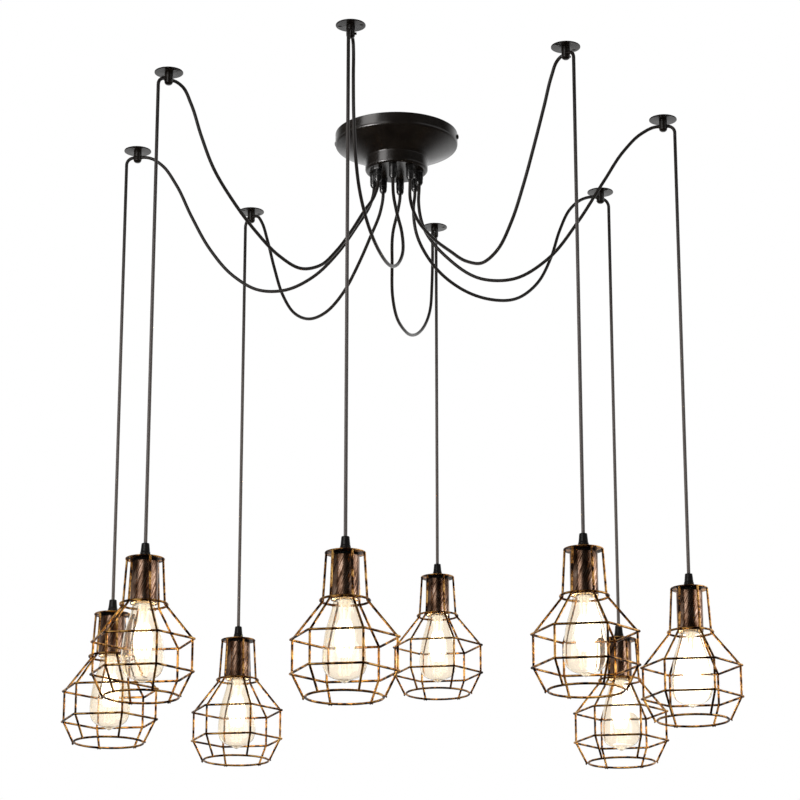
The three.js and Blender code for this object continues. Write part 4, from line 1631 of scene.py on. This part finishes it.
@dataclass
class Pendant:
    """One pendant about its own axis, with the top of its plate at height zero.

    The glass and the glow list their points as shares of the bulb's radius, and of the way down
    from the cap's foot to the bulb's tip.
    """

    finishes: Finishes
    trees: Trees
    plate: Profile = ((5.0, -2.0, 0.0), (29.5, -2.0, 0.7), (29.5, 0.0, 0.9), (5.0, 0.0, 0.0))
    plate_radius: float = 29.5
    plate_thickness: float = 2.0
    wire_radius: float = 1.8
    bend_radius: float = 3.2
    sides: int = 6
    corner_radius: float = 78.5
    upper_radius: float = 35.0
    upper_drop: float = 70.0
    shoulder_drop: float = 124.0
    waist_drop: float = 173.0
    base_radius: float = 55.0
    base_drop: float = 208.0
    weld_overlap: float = 0.5
    foot_overhang: float = 0.9
    bead_size: Span = (1.2, 1.5)
    bead_side: float = 1.98
    relief: Profile = ((0.0, -9.0, 0.0), (4.5, -9.0, 0.3), (4.5, 0.3, 0.0), (6.7, 0.3, 0.4), (7.3, 5.6, 0.8),
                       (7.9, 8.0, 1.0), (7.1, 10.5, 1.2), (5.9, 22.9, 0.8), (2.85, 23.3, 0.5),
                       (2.85, 19.3, 0.0), (0.0, 19.3, 0.0))
    relief_rib_count: int = 14
    relief_rib_size: Place = (1.1, 1.25, 6.4)
    relief_rib_centre: Place = (7.25, 0.0, 4.2)
    relief_rib_bevel: float = 0.35
    relief_rib_lean: float = 0.03
    holder_band: Profile = ((0.0, -2.3, 0.0), (18.3, -2.3, 0.6), (19.5, -6.0, 0.3), (0.0, -6.0, 0.0))
    holder_sleeve: Profile = ((0.0, -5.4, 0.0), (20.5, -5.4, 1.1), (20.5, -69.3, 0.5), (19.5, -69.3, 0.4),
                              (19.5, -6.8, 0.0), (0.0, -6.8, 0.0))
    holder_throat: Profile = ((0.0, -42.3, 0.0), (19.4, -42.3, 0.0), (19.4, -67.7, 0.5), (14.6, -68.3, 0.8),
                              (14.2, -45.3, 0.0), (0.0, -45.3, 0.0))
    cap_top: float = -43.8
    cap_radius: float = 12.6
    cap_shell: Profile = ((0.0, -2.2, 0.0), (6.0, -2.2, 0.5), (12.6, -6.0, 1.0), (12.6, -22.0, 0.4),
                          (13.1, -27.5, 0.4), (0.0, -27.5, 0.0))
    cap_insulator: Profile = ((0.0, -0.8, 0.0), (5.5, -0.9, 0.6), (7.2, -3.0, 0.4), (0.0, -3.0, 0.0))
    cap_contact: Profile = ((0.0, 0.0, 0.0), (3.6, -0.2, 0.5), (4.2, -1.4, 0.2), (0.0, -1.4, 0.0))
    thread_turns: int = 4
    thread_steps: int = 96
    thread_start: float = -7.0
    thread_length: float = 14.0
    thread_radius: float = 0.9
    neck: float = -69.8
    bulb_tip: float = -188.8
    bulb_radius: float = 32.0
    glass_wall: float = 0.8
    glass_shares: Sequence[Span] = (
        (0.47, -0.02), (0.53, 0.012), (0.575, 0.08), (0.67, 0.18), (0.87, 0.375), (0.96, 0.55), (1.0, 0.715),
        (0.97, 0.80), (0.86, 0.87), (0.66, 0.918), (0.42, 0.945), (0.25, 0.962), (0.13, 0.985))
    core_shares: Sequence[Span] = (
        (0.0, 0.004), (0.30, 0.012), (0.29, 0.08), (0.25, 0.16), (0.30, 0.29), (0.40, 0.42), (0.44, 0.53),
        (0.36, 0.62), (0.18, 0.675), (0.0, 0.69))
    soft_width: float = 0.93
    soft_ends: Span = (0.010, 0.945)
    soft_span: Span = (0.015, 0.94)
    stem: Profile = ((0.0, 1.0, 0.0), (9.5, 1.0, 0.5), (5.0, -12.0, 6.0), (3.4, -27.0, 2.0),
                     (1.5, -31.0, 1.0), (1.5, -44.0, 0.8), (0.0, -45.2, 0.0))
    carrier: Sequence[Span] = ((2.0, 0.0), (2.4, -28.0), (9.0, -36.0), (9.5, -40.0))
    carrier_radius: float = 0.35
    filament_count: int = 9
    filament_start: float = 0.3
    filament_steps: int = 28
    filament_span: Span = (-30.0, -80.0)
    filament_out: float = 8.0
    filament_swell: float = 5.5
    filament_sway: float = 1.4
    filament_waves: float = 2.5
    filament_radius: float = 0.75
    light_power: float = 1.1
    light_colour: Colour = (1.0, 0.70, 0.36)
    light_radius: float = 14.0
    light_height: float = -131.8
    pattern_shift: float = 900.0

    def __post_init__(self) -> None:
        """Makes the meshes once, to be copied to each pendant."""
        self.kinds = (
            Kind("strain_relief", "strain_relief", Slot.BLACK_PLASTIC, self.relief_mesh()),
            Kind("lamp_holder", "lamp_holder", Slot.ANTIQUE_COPPER, self.holder_mesh()),
            Kind("cage", "cage", Slot.ANTIQUE_COPPER, self.cage_mesh()),
            Kind("bulb_cap", "bulb", Slot.WARM_GLASS, self.cap_mesh()),
            Kind("bulb_glass", "bulb", Slot.WARM_GLASS, self.glass_mesh(), casts_shadow=False),
            Kind("bulb_mount", "bulb", Slot.WARM_GLASS, self.mount_mesh(), casts_shadow=False),
            Kind("bulb_filament", "bulb", Slot.WARM_GLASS, self.filament_mesh(), casts_shadow=False),
            Kind("bulb_glow", "bulb", Slot.WARM_GLASS, self.glow_mesh(), casts_shadow=False),
        )

    def relief_mesh(self) -> Mesh:
        """Makes the waisted strain relief: plain stem, ribbed collar and tapered gripping top."""
        nylon = self.finishes.nylon
        body = Shells().turned(self.relief, nylon, 48, 5)
        rib = Shells().block(self.relief_rib_size, self.relief_rib_centre, self.relief_rib_bevel, nylon,
                             about("Y", self.relief_rib_lean))
        ribs = self.trees.round.run(rib.mesh("relief_rib"), "relief_ribs", Shading.CRISP,
                                    Count=self.relief_rib_count, Start_Angle=0.0)
        return self.joined([body.mesh("relief_body", Shading.SOFT), ribs], "strain_relief_piece")

    def holder_mesh(self) -> Mesh:
        """Makes the lamp holder: brushed sleeve, dark band and porcelain throat."""
        shells = Shells().turned(self.holder_sleeve, self.finishes.sleeve, 96, 5)
        shells.turned(self.holder_band, self.finishes.nylon, 72, 4)
        shells.turned(self.holder_throat, self.finishes.porcelain, 64, 4)
        return shells.mesh("lamp_holder_piece")

    def cage_mesh(self) -> Mesh:
        """Makes the wire cage: swept wires, plate with a hole, and a weld bead at each crossing."""
        inset = 2 * self.wire_radius - self.weld_overlap
        upright = [
            (self.plate_radius - self.wire_radius, -self.plate_thickness + self.weld_overlap),
            (self.upper_radius - inset, -self.upper_drop),
            (self.corner_radius - inset, -self.shoulder_drop),
            (self.corner_radius - inset, -self.waist_drop),
            (self.base_radius + inset - self.weld_overlap, -self.base_drop - self.foot_overhang),
        ]
        line = bpy.data.meshes.new("upright_line")
        line.from_pydata([(out * MM, 0.0, height * MM) for out, height in upright],
                         [(i, i + 1) for i in range(len(upright) - 1)], [])
        wires = self.trees.cage.run(
            line, "cage_wires", Shading.SOFT, Sides=self.sides, Wire_Radius=self.wire_radius * MM,
            Bend_Radius=self.bend_radius * MM,
            Upper_Radius=self.upper_radius * MM, Upper_Height=-self.upper_drop * MM,
            Shoulder_Radius=self.corner_radius * MM, Shoulder_Height=-self.shoulder_drop * MM,
            Waist_Radius=self.corner_radius * MM, Waist_Height=-self.waist_drop * MM,
            Base_Radius=self.base_radius * MM, Base_Height=-self.base_drop * MM, Finish=self.finishes.wire)
        plate = Shells().turned(self.plate, self.finishes.wire, 96, 5, closed=True)
        beads = self.trees.round.run(self.bead_mesh(upright), "weld_beads", Shading.SOFT, Count=self.sides,
                                     Start_Angle=0.0)
        return self.joined([wires, plate.mesh("cage_plate"), beads], "cage_piece")

    def bead_mesh(self, upright: Outline) -> Mesh:
        """Makes the weld beads along one upright, two where each ring crosses it.

        Args:
            upright: Distance from the axis and height of the upright's corners.

        Returns:
            The beads.
        """
        shells = Shells()
        half_width, half_height = self.bead_size
        angles = [math.pi * i / 6 for i in range(7)]
        ball = [(half_width * math.sin(angle), half_height * math.cos(angle)) for angle in angles]
        for out, height in upright[1:]:
            for side in (-1.0, 1.0):
                spot = moved(out + self.wire_radius - self.weld_overlap / 2, side * self.bead_side, height)
                shells.revolve(ball, self.finishes.wire, 10, spot)
        return shells.mesh("weld_bead_column", Shading.SOFT)

    def cap_mesh(self) -> Mesh:
        """Makes the screw cap: shell, rolled thread, black insulator and brass contact."""
        spot = moved(up=self.cap_top)
        shells = Shells().turned(self.cap_shell, self.finishes.zinc, 48, 4, spot)
        thread = []
        for i in range(self.thread_steps + 1):
            share = i / self.thread_steps
            angle = FULL_TURN * self.thread_turns * share
            thread.append(Vector((self.cap_radius * math.cos(angle), self.cap_radius * math.sin(angle),
                                  self.thread_start - self.thread_length * share)))
        shells.tube(thread, self.thread_radius, self.finishes.zinc, place=spot)
        shells.turned(self.cap_insulator, self.finishes.nylon, 36, 4, spot)
        return shells.turned(self.cap_contact, self.finishes.brass, 32, 4, spot).mesh("bulb_cap_piece")

    def from_shares(self, shares: Iterable[Span], wall: float = 0.0) -> Outline:
        """Returns the points with those shares of the bulb, moved in by the wall."""
        length = self.neck - self.bulb_tip
        return [(out * self.bulb_radius - wall, self.neck - down * length) for out, down in shares]

    def glass_outline(self, wall: float) -> Outline:
        """Returns the glass's outline, that far inside its outer face, from its neck to its tip."""
        return smooth_outline([*self.from_shares(self.glass_shares, wall), (0.0, self.bulb_tip + wall)], 6)

    def glass_mesh(self) -> Mesh:
        """Makes the thin glass envelope, open at its neck inside the cap."""
        outline = [*self.glass_outline(0.0), *reversed(self.glass_outline(self.glass_wall))]
        shells = Shells().revolve(outline, self.finishes.glass, 96, closed=True)
        return shells.mesh("bulb_glass_piece", Shading.SOFT)

    def mount_mesh(self) -> Mesh:
        """Makes the glass stem inside the bulb, with the wires that carry the filament."""
        spot = moved(up=self.neck)
        shells = Shells().turned(self.stem, self.finishes.glass, 32, 4, spot)
        for side in (-1.0, 1.0):
            path = [Vector((side * out, 0.0, height)) for out, height in self.carrier]
            shells.tube(path, self.carrier_radius, self.finishes.zinc, place=spot)
        return shells.mesh("bulb_mount_piece", Shading.SOFT)

    def filament_mesh(self) -> Mesh:
        """Makes the filament: bowed strands side by side round the stem."""
        top, bottom = self.filament_span
        path = []
        for i in range(self.filament_steps + 1):
            share = i / self.filament_steps
            path.append(Vector((self.filament_out + self.filament_swell * math.sin(math.pi * share),
                                self.filament_sway * math.sin(FULL_TURN * self.filament_waves * share),
                                top + (bottom - top) * share)))
        strand = Shells().tube(path, self.filament_radius, self.finishes.filament, place=moved(up=self.neck))
        return self.trees.round.run(strand.mesh("filament_strand", Shading.SOFT), "filament_strands",
                                    Shading.SOFT, Count=self.filament_count, Start_Angle=self.filament_start)

    def glow_mesh(self) -> Mesh:
        """Makes the two clouds of glow, a bright one round the filament and a soft one in all the glass."""
        core = smooth_outline(self.from_shares(self.core_shares))
        (_, top), (_, foot) = self.from_shares((0.0, down) for down in self.soft_span)
        first, last = self.from_shares((0.0, down) for down in self.soft_ends)
        inside = [(out * self.soft_width, height) for out, height in self.glass_outline(self.glass_wall * 2)
                  if foot < height < top]
        shells = Shells().revolve(core, self.finishes.core_glow, 40)
        shells.revolve([first, *inside, last], self.finishes.soft_glow, 40)
        return shells.mesh("bulb_glow_piece", Shading.SOFT)

    @staticmethod
    def joined(meshes: Iterable[Mesh], name: str) -> Mesh:
        """Joins meshes, with their materials kept.

        Args:
            meshes: The meshes.
            name: The new mesh's name.

        Returns:
            The joined mesh.
        """
        parts = []
        for mesh in meshes:
            part = bpy.data.objects.new(mesh.name, mesh)
            bpy.context.scene.collection.objects.link(part)
            parts.append(part)
        with bpy.context.temp_override(active_object=parts[0], selected_editable_objects=parts):
            bpy.ops.object.join()
        mesh = parts[0].data
        mesh.name = name
        bpy.data.objects.remove(parts[0])
        return mesh

    def mark_places(self, mesh: Mesh, number: int) -> None:
        """Stores each point's place about the pendant's own axis, moved apart for each pendant.

        Args:
            mesh: A mesh about the pendant's axis.
            number: The pendant's number.
        """
        attribute = mesh.attributes.new(OWN_PLACE, "FLOAT_VECTOR", "POINT")
        shift = Vector((0.0, 0.0, self.pattern_shift * MM * number))
        for vertex, value in zip(mesh.vertices, attribute.data):
            value.vector = vertex.co + shift

    def hang(self, number: int) -> None:
        """Copies every mesh to one pendant's place.

        Args:
            number: The pendant's number.
        """
        low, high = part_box(f"cage_{number}")
        spot = Matrix.Translation(((low.x + high.x) / 2, (low.y + high.y) / 2, high.z))
        body = f"pendant_{number}"
        for kind in self.kinds:
            copy = kind.mesh.copy()
            self.mark_places(copy, number)
            piece = hand_over(copy, f"{kind.name}_piece_{number}", body,
                              f"{kind.node}_{number}", spot)
            piece.visible_shadow = kind.casts_shadow
            bpy.data.meshes.remove(copy)
        self.light_inside(f"bulb_light_{number}", body, spot)
        LOG.info("pendant %d hung", number)

    def light_inside(self, name: str, body: str, spot: Matrix) -> None:
        """Adds the light that a bulb gives.

        Args:
            name: The lamp's name.
            body: The body that it rides on.
            spot: The pendant's place.
        """
        data = bpy.data.lights.new(name, "POINT")
        data.energy = self.light_power
        data.color = self.light_colour
        data.shadow_soft_size = self.light_radius * MM
        lamp = bpy.data.objects.new(name, data)
        lamp.matrix_world = spot @ moved(up=self.light_height)
        lamp.visible_camera = lamp.visible_transmission = lamp.visible_glossy = False
        bpy.context.scene.collection.objects.link(lamp)
        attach(lamp, body)


def main() -> None:
    """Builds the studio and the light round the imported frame."""
    logging.basicConfig(level=logging.INFO, format="%(name)s: %(message)s")
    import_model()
    studio = Studio()
    studio.place_camera()
    finishes = Finishes()
    trees = Trees()
    Cords(finishes.swag_cord, finishes.drop_cord).build()
    studio.build()
    Canopy(finishes, trees).build()
    for lamp in studio.canopy_lamps:
        lamp.polish(("canopy_shell", "cord_glands"))
    CeilingHooks(finishes, trees).build()
    pendant = Pendant(finishes, trees)
    for number in range(1, ARM_COUNT + 1):
        pendant.hang(number)
    studio.pendant_lamp.polish(f"{kind}_piece_{number}" for kind in ("lamp_holder", "cage")
                               for number in range(1, ARM_COUNT + 1))


if __name__ == "__main__":
    main()
